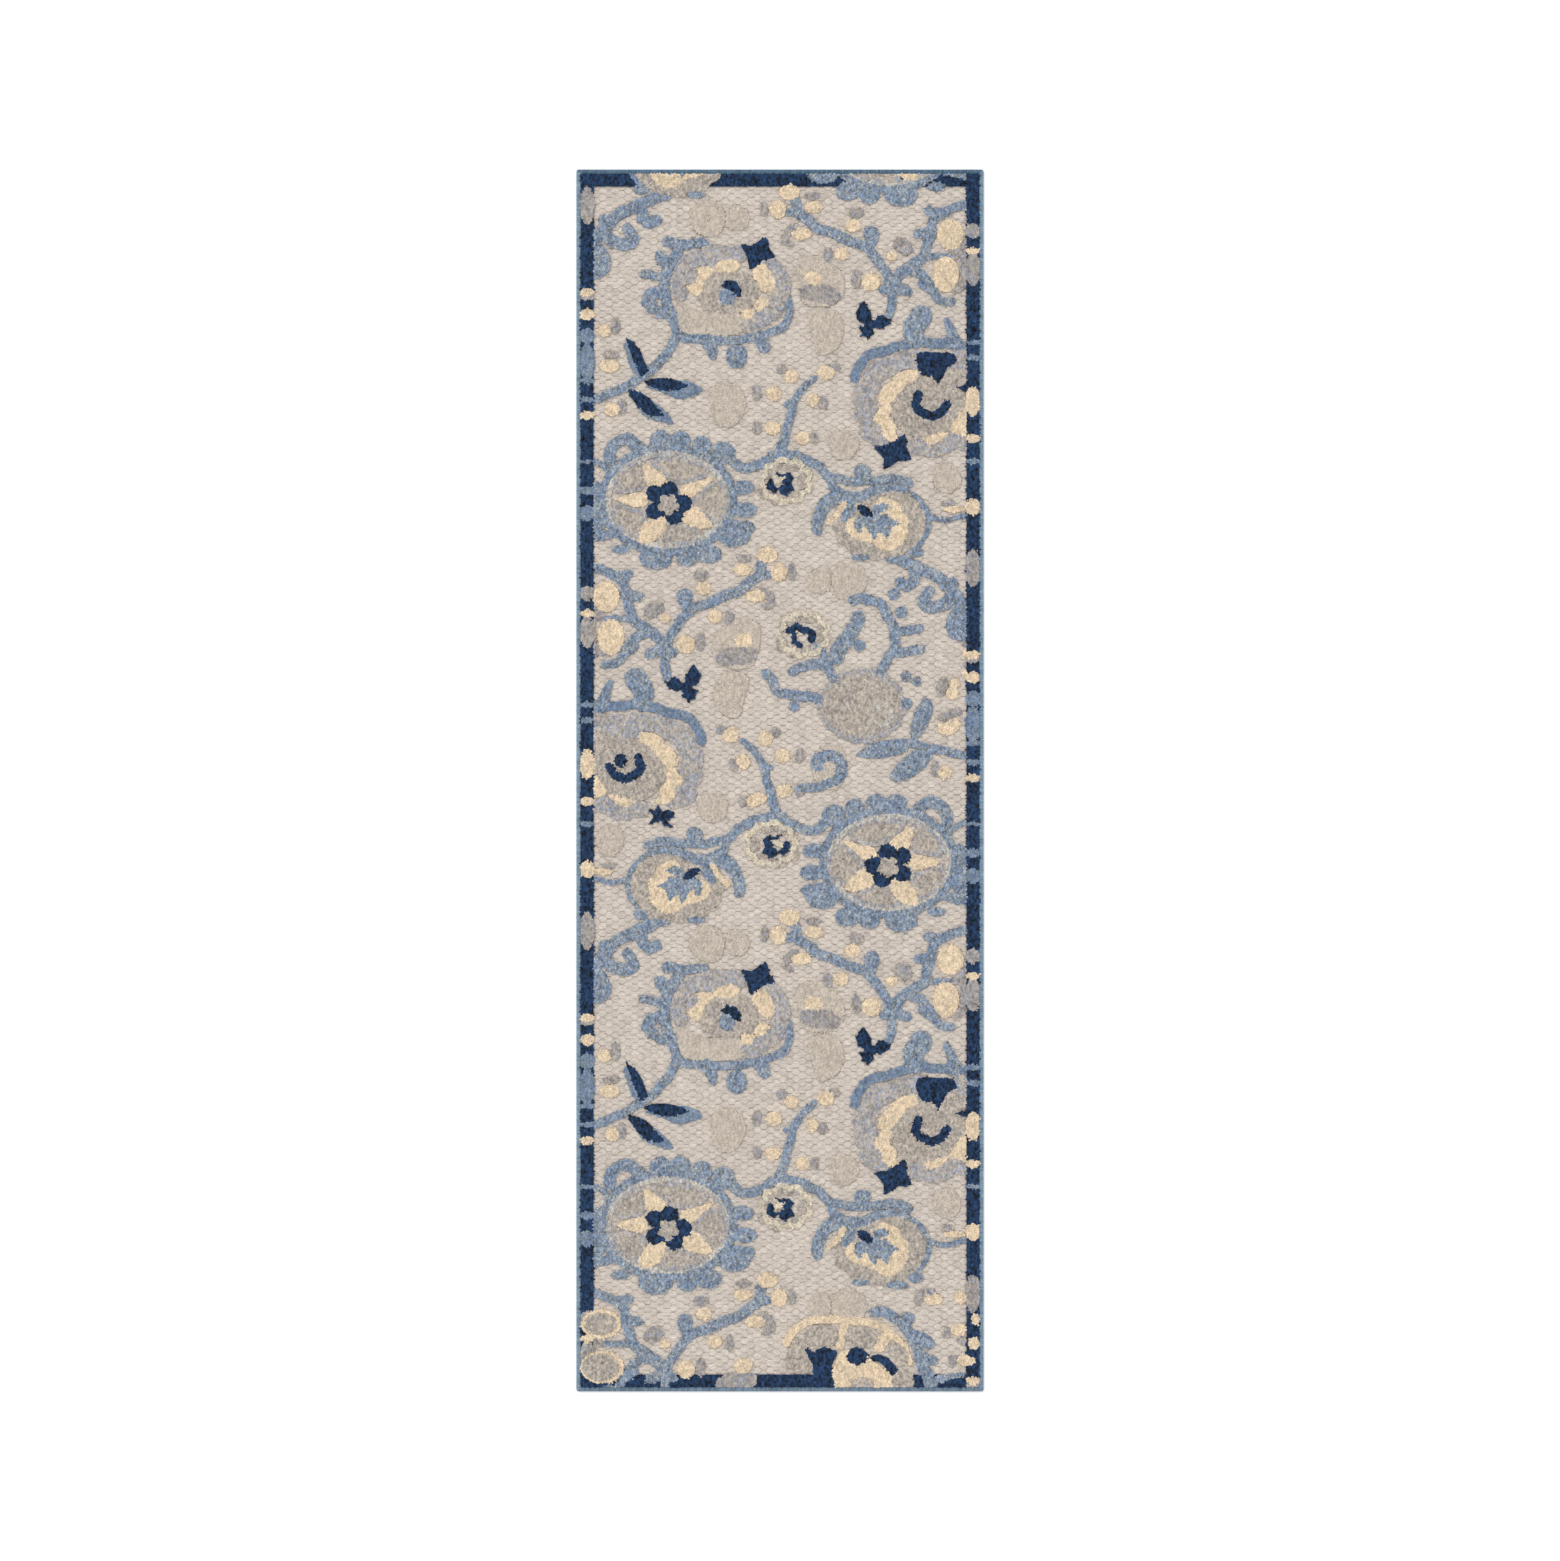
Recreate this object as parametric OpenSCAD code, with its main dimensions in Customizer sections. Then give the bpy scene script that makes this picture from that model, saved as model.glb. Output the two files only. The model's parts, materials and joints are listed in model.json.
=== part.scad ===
// Runner rug: a flat-woven net ground with a raised cut-pile vine pattern, a dark pile
// border and an overcast edge. Width runs along X, length along Y, and the pile faces +Z.
// The underside of the back coat lies on Z = 0, and the middle of the rug is at X = Y = 0.

/* [Rug] */
// Width over the overcast edges
rug_w = 610; // [500:1:800]
// Length over the overcast edges
rug_l = 1829; // [1400:1:2400]

/* [Layers] */
// Thickness of the back coat that locks the yarns
coat_t = 0.5; // [0.3:0.1:1.5]
// Thickness of a flattened weft yarn
weft_t = 0.8; // [0.6:0.1:2]
// Thickness of the stuffer warp layer
stuffer_t = 0.4; // [0.3:0.1:1.2]
// Thickness of the net-woven ground that shows between the motifs
ground_t = 1; // [0.6:0.1:2]
// Height of the cut pile above the ground
pile_h = 3; // [1.5:0.1:6]

/* [Foundation] */
// Distance from one bundle of weft picks to the next
weft_pitch = 16; // [14:0.5:24]
// Width of one bundle of flattened weft picks
weft_w = 12; // [6:0.5:13]
// Width of one stuffer warp strip
stuffer_w = 14; // [8:1:24]
// Open space between two stuffer strips
stuffer_gap = 4; // [2:1:10]

/* [Border] */
// Width of the overcast edge yarn, seen from above
serging_w = 7; // [5:0.5:12]
// Thickness of the edge yarn where it wraps round the cut edge
wrap_t = 1.5; // [1:0.1:2.5]
// Thickness of the edge yarn on top of the ground
cap_t = 1.2; // [0.8:0.1:2.5]
// Outer corner radius
corner_r = 4; // [3:0.5:7]
// Width of the dark border band
band_w = 19; // [12:1:30]

/* [Pattern] */
// Length of half a repeat, after which the pattern comes back mirrored
half_repeat = 542.5; // [500:0.5:600]
// How far the pattern stands to the right of the middle of the rug
pattern_x = -1; // [-20:0.5:20]
// Bare ground left between two areas of pile
seam = 0.15; // [0.1:0.05:0.5]
// Narrowest stripe of pile that the loom keeps
thinnest = 1.6; // [1:0.1:3]

/* [Hidden] */
// how far the heather edge of a medallion petal stands past its dark middle
petal_edge = 6;
// length of one straight step along a curved outline
curve_step = 10;
steps_round_least = 8;
// the edges of a vine swell and narrow by this share of its width, once every ripple_l
ripple = 0.13;
ripple_l = 38;
// heights of the layers
under_z = coat_t;
stuffer_z = under_z + weft_t;
over_z = stuffer_z + stuffer_t;
ground_z = over_z + weft_t;
pile_z = ground_z + ground_t;
top_z = pile_z + pile_h;
// how far the end motif stands to the right of where it is drawn
end_x = 3;
// how many scallops stand round the pineapple, and how far out, sideways and lengthways
scallops = 14;
pineapple_r = [58, 46];
// a spot in the band bulges past its length and spills over the edges of the band
spot_bulge = 1.15;
spot_spill = 4;
half_w = rug_w / 2;
half_l = rug_l / 2;
// the area inside the overcast edge, and the field inside the dark band
woven_w = rug_w - 2 * serging_w;
woven_l = rug_l - 2 * serging_w;
field_w = woven_w - 2 * band_w;
field_l = woven_l - 2 * band_w;
// each half repeat is mirrored about this line of the drawing
mirror_x = -1.5;
// the pattern is drawn for this rug length, and its first half repeat hangs from the far edge
drawn_l = 1829;
whole_repeat = 2 * half_repeat;
pattern_y = (rug_l - drawn_l) / 2;
repeats = ceil(rug_l / whole_repeat);

DENIM = "#6f89ae";
PALE_BLUE = "#93a5b8";
HEATHER = "#8f93a0";
NAVY = "#1f3855";
CREAM = "#e3cda6";
TAUPE = "#a8988c";
LILAC = "#9c9aa4";
GREIGE = "#c4b2a2";
MIST = "#c2bdb4";
STEEL_BLUE = "#7f9aae";
ECRU = "#d6c6b4";

// Pile areas in the order in which they are laid down: a later one takes the place of an
// earlier one where the two cross.
PILE = ["ghost_patches", "border_band", "berry_shades", "sprig_stems", "berry_branches",
    "main_vines", "scrolls", "peony_arches", "peony_petals", "peony_leaves", "tear_petals",
    "tear_outlines", "round_petals", "small_petals", "pineapple_scallops", "pineapple_bodies",
    "pineapple_leaves", "blue_leaves", "medallion_fringes", "medallion_rims", "medallion_shades",
    "medallion_petals", "medallion_stars", "medallion_hearts", "medallion_eyes", "round_discs",
    "round_ruffs", "round_eyes", "round_crescents", "peony_discs", "peony_ruffs",
    "peony_crescents", "peony_caps", "tear_cups", "tear_lobes", "tear_seeds", "small_rings",
    "small_spots", "pineapple_collars", "leaf_edges", "navy_leaves", "trefoils", "stars",
    "dark_sprigs", "end_body", "end_petals", "end_vines", "end_shades", "end_stems", "berries"];

// ---- curves ----
function blend(a, b, c, d, t) = 0.5 * (2 * b + (c - a) * t + (2 * a - 5 * b + 4 * c - d) * t * t
    + (3 * b - a - 3 * c + d) * t * t * t);
function steps(a, b) = max(1, round(norm(b - a) / curve_step));
function at(p, i) = p[max(0, min(len(p) - 1, i))];
// points of a smooth line through p
function line_points(p) = [
    for (i = [0 : len(p) - 2]) for (k = [0 : steps(p[i], p[i + 1]) - 1])
        blend(at(p, i - 1), p[i], p[i + 1], at(p, i + 2), k / steps(p[i], p[i + 1])),
    p[len(p) - 1]];
// points of a smooth closed outline through p
function loop_points(p) = let (n = len(p)) [
    for (i = [0 : n - 1]) let (a = p[i], b = p[(i + 1) % n]) for (k = [0 : steps(a, b) - 1])
        blend(p[(i + n - 1) % n], a, b, p[(i + 2) % n], k / steps(a, b))];
// how far the line stands to its left at each of its points, for a width of 1
function side(q, i) = let (d = at(q, i + 1) - at(q, i - 1)) [-d.y, d.x] / (2 * norm(d));

// a band of yarn along a smooth line, w wide, or from w[0] to w[1] wide, with rippled edges
module stroke(p, w) {
    q = line_points(p);
    n = len(q) - 1;
    width = is_list(w) ? w : [w, w];
    turn = 360 * curve_step / ripple_l;
    half = [for (i = [0 : n]) side(q, i) * (width[0] + (width[1] - width[0]) * i / n)];
    left = [for (i = [0 : n]) q[i] + half[i] * (1 + ripple * sin(i * turn))];
    right = [for (i = [0 : n]) q[i] - half[i] * (1 + ripple * sin(i * turn + 200))];
    for (i = [0 : n - 1]) polygon([left[i], left[i + 1], right[i + 1], right[i]]);
    oval(q[0].x, q[0].y, width[0]);
    oval(q[n].x, q[n].y, width[1]);
}
module blob(p) polygon(loop_points(p));
module patch(p) polygon(p);
module oval(x, y, w, h = 0, turn = 0) {
    b = h > 0 ? h : w;
    n = max(steps_round_least, round(PI * (w + b) / 2 / curve_step));
    translate([x, y]) rotate(turn)
        polygon([for (i = [0 : n - 1]) [w / 2 * cos(360 * i / n), b / 2 * sin(360 * i / n)]]);
}
module ring(x, y, w, h, thick, turn = 0) difference() {
    oval(x, y, w, h, turn);
    oval(x, y, w - 2 * thick, h - 2 * thick, turn);
}
// an oval with n round lobes; between two of them it is cut in by this share of its size
module lobed(x, y, w, h, n, cut, turn = 0) {
    m = 6 * n;
    translate([x, y]) rotate(turn) polygon([for (i = [0 : m - 1])
        (1 - cut * (1 - abs(sin(30 * i)))) * [w / 2 * cos(360 * i / m), h / 2 * sin(360 * i / m)]]);
}
module dots(list) for (p = list) oval(p[0], p[1], p[2], len(p) > 3 ? p[3] : p[2]);

// ---- how the pattern repeats ----
// the k-th repeat down the rug, kept between the two side bands
module in_field(k) intersection() {
    translate([0, pattern_y]) square([field_w, 3 * rug_l], center = true);
    translate([pattern_x, pattern_y - k * whole_repeat]) children();
}
module glided() translate([2 * mirror_x, -half_repeat]) mirror([1, 0]) children();
// in the first half of each repeat only
module first_halves() for (k = [0 : repeats]) in_field(k) children();
// in the second half of each repeat; the last one is left to the end flower
module second_halves() for (k = [-1 : repeats - 2]) in_field(k) children();
module both_halves(last = repeats) {
    first_halves() children();
    for (k = [-1 : last]) in_field(k) glided() children();
}
// as both_halves, but it makes way for the end flower
module both_halves_but_end() both_halves(repeats - 2) children();
// the last, unmatched motif hangs from the near end of the rug
module end_motif() translate([pattern_x + end_x, -pattern_y]) children();
// spots down both side bands: each is [middle, length] along the left band
module band_spots(list) for (k = [-1 : repeats + 1]) translate([0, pattern_y - k * whole_repeat])
    for (s = list) {
        translate([-(field_w + band_w) / 2, s[0]]) band_spot(s[1]);
        translate([(field_w + band_w) / 2, s[0] - half_repeat]) band_spot(s[1]);
    }
module band_spot(length) oval(0, 0, band_w + spot_spill, length * spot_bulge);

// ---- motifs ----
// five dark petals, between the arms of the star
module medallion_petal_outlines() {
    blob([[-205, 470], [-224, 466], [-240, 446], [-240, 436], [-222, 436], [-206, 444]]);
    blob([[-184, 476], [-150, 478], [-112, 464], [-136, 450], [-160, 453], [-172, 464]]);
    blob([[-108, 436], [-90, 440], [-82, 422], [-84, 402], [-97, 390], [-114, 404], [-124, 415],
        [-116, 428]]);
    blob([[-170, 382], [-148, 380], [-122, 368], [-144, 358], [-178, 360]]);
    blob([[-242, 410], [-222, 402], [-206, 398], [-206, 376], [-214, 368], [-236, 382], [-246, 396]]);
}
module small_flower_ruff(x, y) {
    difference() {
        lobed(x, y, 84, 74, 9, 0.16);
        lobed(x, y, 66, 56, 9, 0.16);
    }
    stroke([[x - 16, y - 2], [x - 2, y + 4]], 8);
}
// small buds of cream and grey round the dark ring of a small flower
module small_flower_petals(x, y) {
    dots([[x - 31, y - 14, 18, 20], [x - 8, y - 27, 30, 15], [x + 20, y - 20, 20, 16],
        [x + 27, y + 1, 14, 24],
        [x - 26, y + 12, 16, 14], [x + 12, y + 24, 28, 12], [x - 12, y + 24, 18, 12]]);
}
module drawing(name) {
    if (name == "ghost_patches") {
        both_halves() {
            blob([[-130, 856], [-106, 868], [-86, 858], [-82, 836], [-94, 814], [-120, 818], [-134, 836]]);
            blob([[-76, 860], [-56, 858], [-44, 842], [-54, 824], [-78, 828]]);
            blob([[-100, 588], [-66, 592], [-50, 566], [-66, 532], [-96, 536]]);
            blob([[76, 516], [104, 524], [120, 504], [104, 480], [80, 486]]);
            blob([[232, 468], [258, 474], [272, 450], [256, 430], [234, 438]]);
        }
        both_halves_but_end() {
            blob([[26, 772], [60, 784], [92, 760], [96, 726], [70, 710], [36, 716]]);
            blob([[44, 698], [80, 704], [96, 680], [88, 648], [60, 636], [50, 664]]);
        }
        first_halves() blob([[-150, 716], [-118, 700], [-62, 700], [-50, 684], [-62, 668], [-120, 666],
            [-148, 676]]);
    }
    if (name == "border_band") difference() {
        square([woven_w, woven_l], center = true);
        square([field_w, field_l], center = true);
    }
    if (name == "main_vines") {
        both_halves() {
            stroke([[-80, 484], [-55, 468], [-35, 470], [-15, 482], [0, 490], [25, 485], [45, 478],
                [60, 468], [75, 455], [95, 450], [120, 447], [150, 450], [175, 452], [195, 445]], [14, 12]);
            oval(124, 462, 26, 22);
            stroke([[75, 455], [80, 440], [88, 428], [105, 420]], 13);
            stroke([[88, 428], [68, 412], [58, 395], [57, 375]], [22, 16]);
        }
        first_halves() {
            stroke([[-168, 806], [-150, 802], [-128, 803], [-112, 804]], [16, 13]);
            stroke([[-150, 798], [-160, 778], [-168, 765], [-172, 750], [-172, 730], [-168, 715],
                [-163, 700],
                [-157, 685], [-154, 670], [-158, 655], [-168, 640], [-180, 625], [-195, 612], [-215, 598],
                [-245, 582], [-282, 568]], [16, 12]);
            stroke([[-178, 784], [-170, 772]], 18);
            stroke([[-205, 758], [-190, 756], [-175, 752]], 12);
            stroke([[-176, 732], [-192, 728], [-196, 716], [-190, 708]], [18, 20]);
            stroke([[-178, 698], [-162, 697]], 15);
            stroke([[-155, 664], [-120, 660], [-80, 658], [-45, 662], [-15, 670], [2, 676], [13, 690],
                [16, 704], [9, 732], [5, 750], [0, 768]], [13, 11]);
            stroke([[-108, 658], [-102, 645], [-99, 634]], [22, 11]);
            oval(-64, 634, 32, 36);
            stroke([[-30, 662], [-22, 648]], [22, 18]);
        }
    }
    if (name == "scrolls") both_halves_but_end() {
        stroke([[-184, 874], [-207, 862], [-225, 855], [-245, 843], [-260, 828], [-270, 815],
            [-282, 800]], 17);
        stroke([[-209, 858], [-204, 842], [-194, 834], [-184, 838]], [18, 17]);
        stroke([[-262, 838], [-258, 815], [-245, 804], [-232, 800], [-218, 809]], 18);
        stroke([[-222, 808], [-220, 818], [-228, 826]], 16);
        blob([[-284, 806], [-265, 802], [-255, 787], [-252, 772], [-258, 758], [-270, 751], [-286, 756]]);
    }
    if (name == "berry_branches") both_halves() {
        stroke([[24, 868], [26, 852], [40, 840], [55, 828], [75, 820], [95, 812], [115, 803], [130, 799],
            [141, 785], [152, 772], [160, 760], [165, 742], [168, 722], [165, 698]], [15, 13]);
        stroke([[14, 850], [30, 848]], 12);
        stroke([[138, 818], [135, 800]], [24, 16]);
        stroke([[168, 738], [185, 734], [192, 732]], [18, 14]);
        stroke([[166, 740], [156, 734]], 14);
        stroke([[170, 742], [182, 760], [196, 770], [212, 780], [221, 798], [226, 820], [230, 838],
            [240, 848],
            [258, 856], [282, 862]], [16, 13]);
        stroke([[226, 822], [208, 818]], 14);
        stroke([[238, 850], [222, 852]], 13);
        stroke([[215, 782], [235, 785], [256, 785]], [10, 7]);
        stroke([[198, 762], [214, 756], [224, 742], [234, 726], [246, 716], [258, 716]], [14, 12]);
        stroke([[216, 744], [226, 736]], 18);
    }
    if (name == "sprig_stems") both_halves() {
        stroke([[0, 490], [8, 515], [15, 540], [20, 560], [28, 578], [38, 590], [52, 602]], [14, 9]);
        stroke([[20, 566], [10, 562]], 9);
        stroke([[222, 395], [250, 390], [282, 398]], 7);
        stroke([[-282, 480], [-262, 470], [-252, 460]], 8);
    }
    if (name == "berry_shades") {
        both_halves() {
            dots([[-245, 680, 14, 26], [-252, 637, 26, 12], [-236, 560, 14, 24], [-34, 580, 14, 24],
                [-33, 528, 14, 20], [3, 615, 16, 14], [65, 565, 14, 20], [52, 512, 14, 18],
                    [82, 618, 20, 12],
                [252, 415, 22, 10], [-22, 855, 12, 24], [50, 875, 22, 12], [72, 786, 14, 24],
                    [115, 849, 22, 16],
                [115, 750, 14, 30]]);
            stroke([[22, 826], [10, 818], [8, 808], [18, 802]], [14, 8]);
            blob([[168, 800], [180, 812], [196, 806], [200, 792], [188, 784], [178, 792]]);
            blob([[30, 736], [44, 742], [76, 740], [92, 728], [84, 714], [48, 716], [32, 724]]);
            stroke([[282, 838], [292, 815], [278, 800], [262, 786]], [10, 14]);
            stroke([[276, 786], [278, 766], [276, 744], [262, 734]], [12, 12]);
        }
        second_halves() dots([[283, 205, 20, 12], [284, 175, 18, 10], [246, 145, 14, 22],
            [262, 102, 22, 12]]);
        band_spots([[860, 50], [723, 8], [280, 20], [222, 44], [-222, 44]]);
    }
    if (name == "berries") {
        both_halves() {
            dots([[-262, 673, 20, 20], [-254, 620, 32, 20], [-250, 555, 22, 20], [-8, 579, 24, 22],
                [-10, 527, 24, 20], [18, 604, 22, 20], [70, 610, 26, 22], [50, 569, 18, 20],
                    [35, 512, 22, 20],
                [262, 406, 34, 10], [15, 880, 32, 24], [-2, 854, 26, 28], [52, 858, 28, 18],
                    [33, 818, 32, 18],
                [93, 788, 22, 20], [110, 830, 24, 20], [137, 746, 28, 28], [168, 785, 18, 14]]);
            blob([[36, 756], [44, 762], [56, 762], [66, 752], [60, 742], [44, 742]]);
        }
        both_halves_but_end() dots([[256, 817, 40, 46], [249, 757, 40, 54]]);
        second_halves() dots([[283, 190, 18, 14], [282, 160, 18, 14], [262, 145, 16, 16], [262, 85, 18, 18],
            [248, 15, 18, 16], [-70, 72, 20, 18], [-20, 65, 22, 18], [5, 38, 20, 18], [-55, 30, 20, 20],
            [-30, -27, 24, 18]]);
        band_spots([[730, 12], [697, 16], [546, 12], [250, 10], [25, 40], [-31, 12], [-133, 24]]);
    }
    if (name == "peony_arches") {
        both_halves() stroke([[113, 602], [119, 620], [132, 635], [152, 642], [175, 648], [200, 655],
            [230, 655], [260, 652], [284, 650]], [14, 14]);
        band_spots([[665, 22], [626, 50], [598, 8], [570, 8], [477, 6], [434, 12], [400, 22], [113, 8],
            [90, 8], [-65, 8]]);
    }
    if (name == "peony_leaves") both_halves() {
        stroke([[202, 660], [202, 682], [212, 694]], [28, 34]);
        stroke([[264, 655], [256, 675], [250, 688]], [20, 10]);
    }
    if (name == "peony_petals") both_halves() {
        stroke([[210, 632], [172, 624], [142, 606], [129, 580], [128, 550]], [26, 34]);
        blob([[122, 532], [148, 538], [164, 524], [162, 502], [138, 504], [122, 516]]);
        stroke([[204, 500], [228, 498], [248, 504]], [26, 30]);
        stroke([[252, 512], [282, 508]], [30, 26]);
        blob([[204, 640], [205, 600], [250, 598], [284, 604], [284, 644], [262, 642], [232, 640]]);
    }
    if (name == "peony_ruffs") both_halves() {
        blob([[168, 600], [180, 611], [206, 615], [208, 602], [196, 594], [180, 594]]);
        blob([[148, 572], [157, 590], [176, 599], [190, 593], [178, 578], [166, 564], [150, 564]]);
        blob([[140, 541], [150, 556], [160, 568], [170, 556], [164, 545], [166, 536], [148, 532]]);
        blob([[152, 530], [166, 540], [176, 530], [174, 518], [184, 510], [166, 506], [156, 514]]);
        blob([[214, 510], [232, 518], [254, 522], [242, 509], [224, 502]]);
        blob([[254, 524], [266, 544], [284, 562], [284, 516], [268, 518]]);
    }
    if (name == "peony_discs") both_halves() {
        oval(224, 558, 116, 96);
        blob([[244, 606], [262, 618], [280, 608], [274, 588], [252, 588]]);
    }
    if (name == "peony_crescents") {
        both_halves() stroke([[208, 577], [204, 562], [214, 550], [230, 545], [243, 552], [251, 563]],
            [14, 14]);
        first_halves() patch([[284, 594], [262, 587], [284, 580]]);
    }
    if (name == "peony_caps") {
        first_halves() blob([[208, 640], [240, 640], [262, 638], [266, 626], [252, 618], [245, 604],
            [238, 592],
            [230, 603], [214, 606], [205, 622]]);
        second_halves() oval(-237, 30, 22);
    }
    if (name == "round_petals") first_halves() {
        stroke([[-148, 728], [-152, 748], [-142, 770], [-118, 784], [-90, 790], [-60, 786]], [22, 24]);
        stroke([[-22, 778], [-2, 762], [4, 738], [-2, 714], [-20, 696], [-44, 682]], [22, 28]);
        dots([[-128, 752, 26, 22], [-106, 774, 30, 18]]);
    }
    if (name == "round_ruffs") first_halves() {
        blob([[-138, 738], [-127, 747], [-121, 757], [-122, 767], [-108, 770], [-96, 764], [-104, 754],
            [-112, 746], [-114, 734], [-122, 724], [-132, 730]]);
        blob([[-100, 766], [-90, 777], [-70, 780], [-58, 773], [-64, 762], [-90, 760]]);
        blob([[-42, 758], [-33, 770], [-22, 774], [-14, 762], [-6, 744], [-12, 730], [-26, 732],
            [-32, 746]]);
        blob([[-38, 714], [-28, 724], [-14, 716], [-22, 706], [-32, 700]]);
        blob([[-58, 704], [-36, 704], [-40, 692], [-52, 688]]);
    }
    if (name == "round_discs") first_halves() blob([[-120, 738], [-106, 758], [-78, 764], [-50, 760],
        [-34, 740],
        [-36, 714], [-56, 702], [-84, 698], [-108, 704], [-120, 722]]);
    if (name == "round_crescents") first_halves() blob([[-88, 740], [-78, 750], [-64, 746], [-56, 734],
        [-58, 724],
        [-66, 726], [-74, 734]]);
    if (name == "round_eyes") first_halves() oval(-78, 724, 26, 28);
    if (name == "stars") first_halves() {
        blob([[-58, 802], [-42, 800], [-20, 813], [-15, 796], [-6, 783], [-24, 778], [-43, 764],
            [-48, 782]]);
        blob([[142, 498], [162, 502], [188, 518], [190, 498], [198, 480], [178, 478], [157, 465],
            [156, 482]]);
    }
    if (name == "trefoils") both_halves()
        patch([[125, 717], [131, 710], [134, 704], [138, 698], [138, 689], [144, 689], [147, 695],
            [156, 697], [162, 690], [168, 692], [165, 683], [158, 679], [150, 675], [146, 678],
            [140, 676], [142, 668], [136, 664], [132, 658], [130, 664], [122, 665], [124, 670],
            [118, 678], [126, 679], [128, 683], [118, 688], [114, 700], [119, 708]]);
    if (name == "navy_leaves") first_halves() {
        blob([[-230, 663], [-220, 657], [-208, 643], [-202, 628], [-196, 612], [-206, 604], [-214, 618],
            [-222, 640]]);
        blob([[-203, 597], [-190, 601], [-170, 602], [-145, 596], [-136, 590], [-152, 584], [-168, 582],
            [-190, 588]]);
        blob([[-227, 585], [-213, 582], [-198, 575], [-186, 562], [-172, 546], [-190, 545], [-206, 553],
            [-222, 573]]);
    }
    if (name == "leaf_edges") first_halves() {
        stroke([[-228, 652], [-224, 638], [-218, 620], [-208, 606]], 9);
        blob([[-200, 590], [-172, 580], [-150, 571], [-115, 583], [-140, 598], [-170, 594]]);
        blob([[-222, 578], [-206, 550], [-188, 540], [-158, 534], [-178, 558], [-200, 574]]);
    }
    if (name == "medallion_fringes") both_halves() {
        ring(-167, 420, 208, 168, 13);
        dots([[-178, 508, 32, 30], [-148, 509, 32, 28], [-116, 501, 30, 30], [-84, 490, 36, 34],
            [-56, 438, 38, 22],
            [-52, 405, 38, 23], [-68, 370, 52, 40], [-48, 378, 24, 20], [-106, 339, 40, 28],
                [-138, 333, 32, 26],
            [-185, 334, 50, 36], [-238, 346, 28, 14]]);
        stroke([[-245, 372], [-265, 366], [-284, 362]], 13);
        blob([[-284, 440], [-262, 440], [-262, 380], [-284, 372]]);
        stroke([[-254, 480], [-250, 500], [-236, 509], [-220, 508], [-208, 496]], [17, 18]);
    }
    if (name == "medallion_rims") both_halves() ring(-167, 420, 186, 146, 8);
    if (name == "medallion_shades") both_halves() offset(delta = petal_edge) medallion_petal_outlines();
    if (name == "medallion_petals") both_halves() medallion_petal_outlines();
    if (name == "medallion_stars") both_halves() {
        blob([[-203, 473], [-180, 462], [-165, 446], [-178, 434], [-196, 440]]);
        blob([[-244, 420], [-215, 431], [-199, 429], [-196, 415], [-212, 409]]);
        blob([[-211, 357], [-202, 385], [-188, 394], [-171, 396], [-172, 374], [-188, 358]]);
        blob([[-100, 380], [-114, 401], [-130, 412], [-149, 396], [-141, 384], [-120, 377]]);
        blob([[-97, 453], [-120, 448], [-146, 441], [-149, 432], [-135, 421], [-112, 439]]);
    }
    if (name == "medallion_hearts") both_halves() dots([[-187, 430, 26], [-165, 434, 28], [-144, 415, 28],
        [-157, 396, 28], [-187, 403, 26], [-167, 413, 40]]);
    if (name == "medallion_eyes") both_halves() lobed(-166, 413, 34, 34, 5, 0.35, turn = 20);
    if (name == "tear_petals") both_halves() lobed(151, 384, 146, 110, 13, 0.08);
    if (name == "tear_outlines") both_halves() {
        stroke([[92, 424], [112, 424], [130, 427], [148, 436], [170, 438], [192, 434]], [18, 9]);
        stroke([[100, 418], [106, 404], [98, 394]], [22, 14]);
        stroke([[200, 428], [216, 412], [224, 392], [220, 368], [208, 352]], [8, 7]);
        dots([[204, 342, 24, 16], [176, 330, 34, 12], [122, 334, 30, 10]]);
    }
    if (name == "tear_cups") both_halves() {
        blob([[144, 414], [152, 425], [166, 421], [180, 413], [184, 402], [192, 395], [193, 378],
            [189, 362], [180, 350], [165, 343], [150, 347], [140, 355], [124, 359], [106, 366],
            [98, 378], [102, 390], [113, 395], [122, 384], [140, 390], [146, 402]]);
        stroke([[74, 386], [86, 398], [97, 414]], [7, 9]);
    }
    if (name == "tear_lobes") both_halves() {
        patch([[113, 392], [112, 381], [117, 370], [123, 371], [125, 380], [131, 377], [137, 366],
            [143, 359], [148, 370], [153, 370], [161, 361], [166, 372], [169, 380], [181, 384],
            [168, 391], [162, 399], [150, 398], [140, 404], [128, 398]]);
        patch([[138, 404], [150, 400], [160, 404], [168, 408], [156, 415], [142, 412]]);
    }
    if (name == "tear_seeds") both_halves() oval(128, 403, 28, 15, -35);
    if (name == "small_petals") {
        both_halves() small_flower_petals(7, 446);
        second_halves() small_flower_petals(34, 218);
    }
    if (name == "small_rings") {
        both_halves() small_flower_ruff(10, 448);
        second_halves() small_flower_ruff(36, 219);
    }
    if (name == "small_spots") {
        both_halves() {
            patch([[-14, 453], [-8, 447], [-9, 440], [0, 437], [-8, 430], [-20, 438], [-18, 446]]);
            patch([[-6, 462], [3, 458], [15, 460], [22, 452], [17, 446], [20, 441], [23, 434], [16, 432],
                [9, 426], [0, 431], [1, 440], [8, 443], [3, 448], [11, 453], [1, 454]]);
        }
        second_halves() {
            stroke([[14, 224], [25, 230], [37, 224]], 10);
            stroke([[40, 226], [50, 220], [48, 212]], [9, 13]);
            stroke([[22, 220], [22, 208], [32, 202]], [8, 7]);
        }
    }
    if (name == "pineapple_scallops") second_halves() translate([124, 112])
        for (turn = [0 : 360 / scallops : 359]) rotate(turn)
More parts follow.
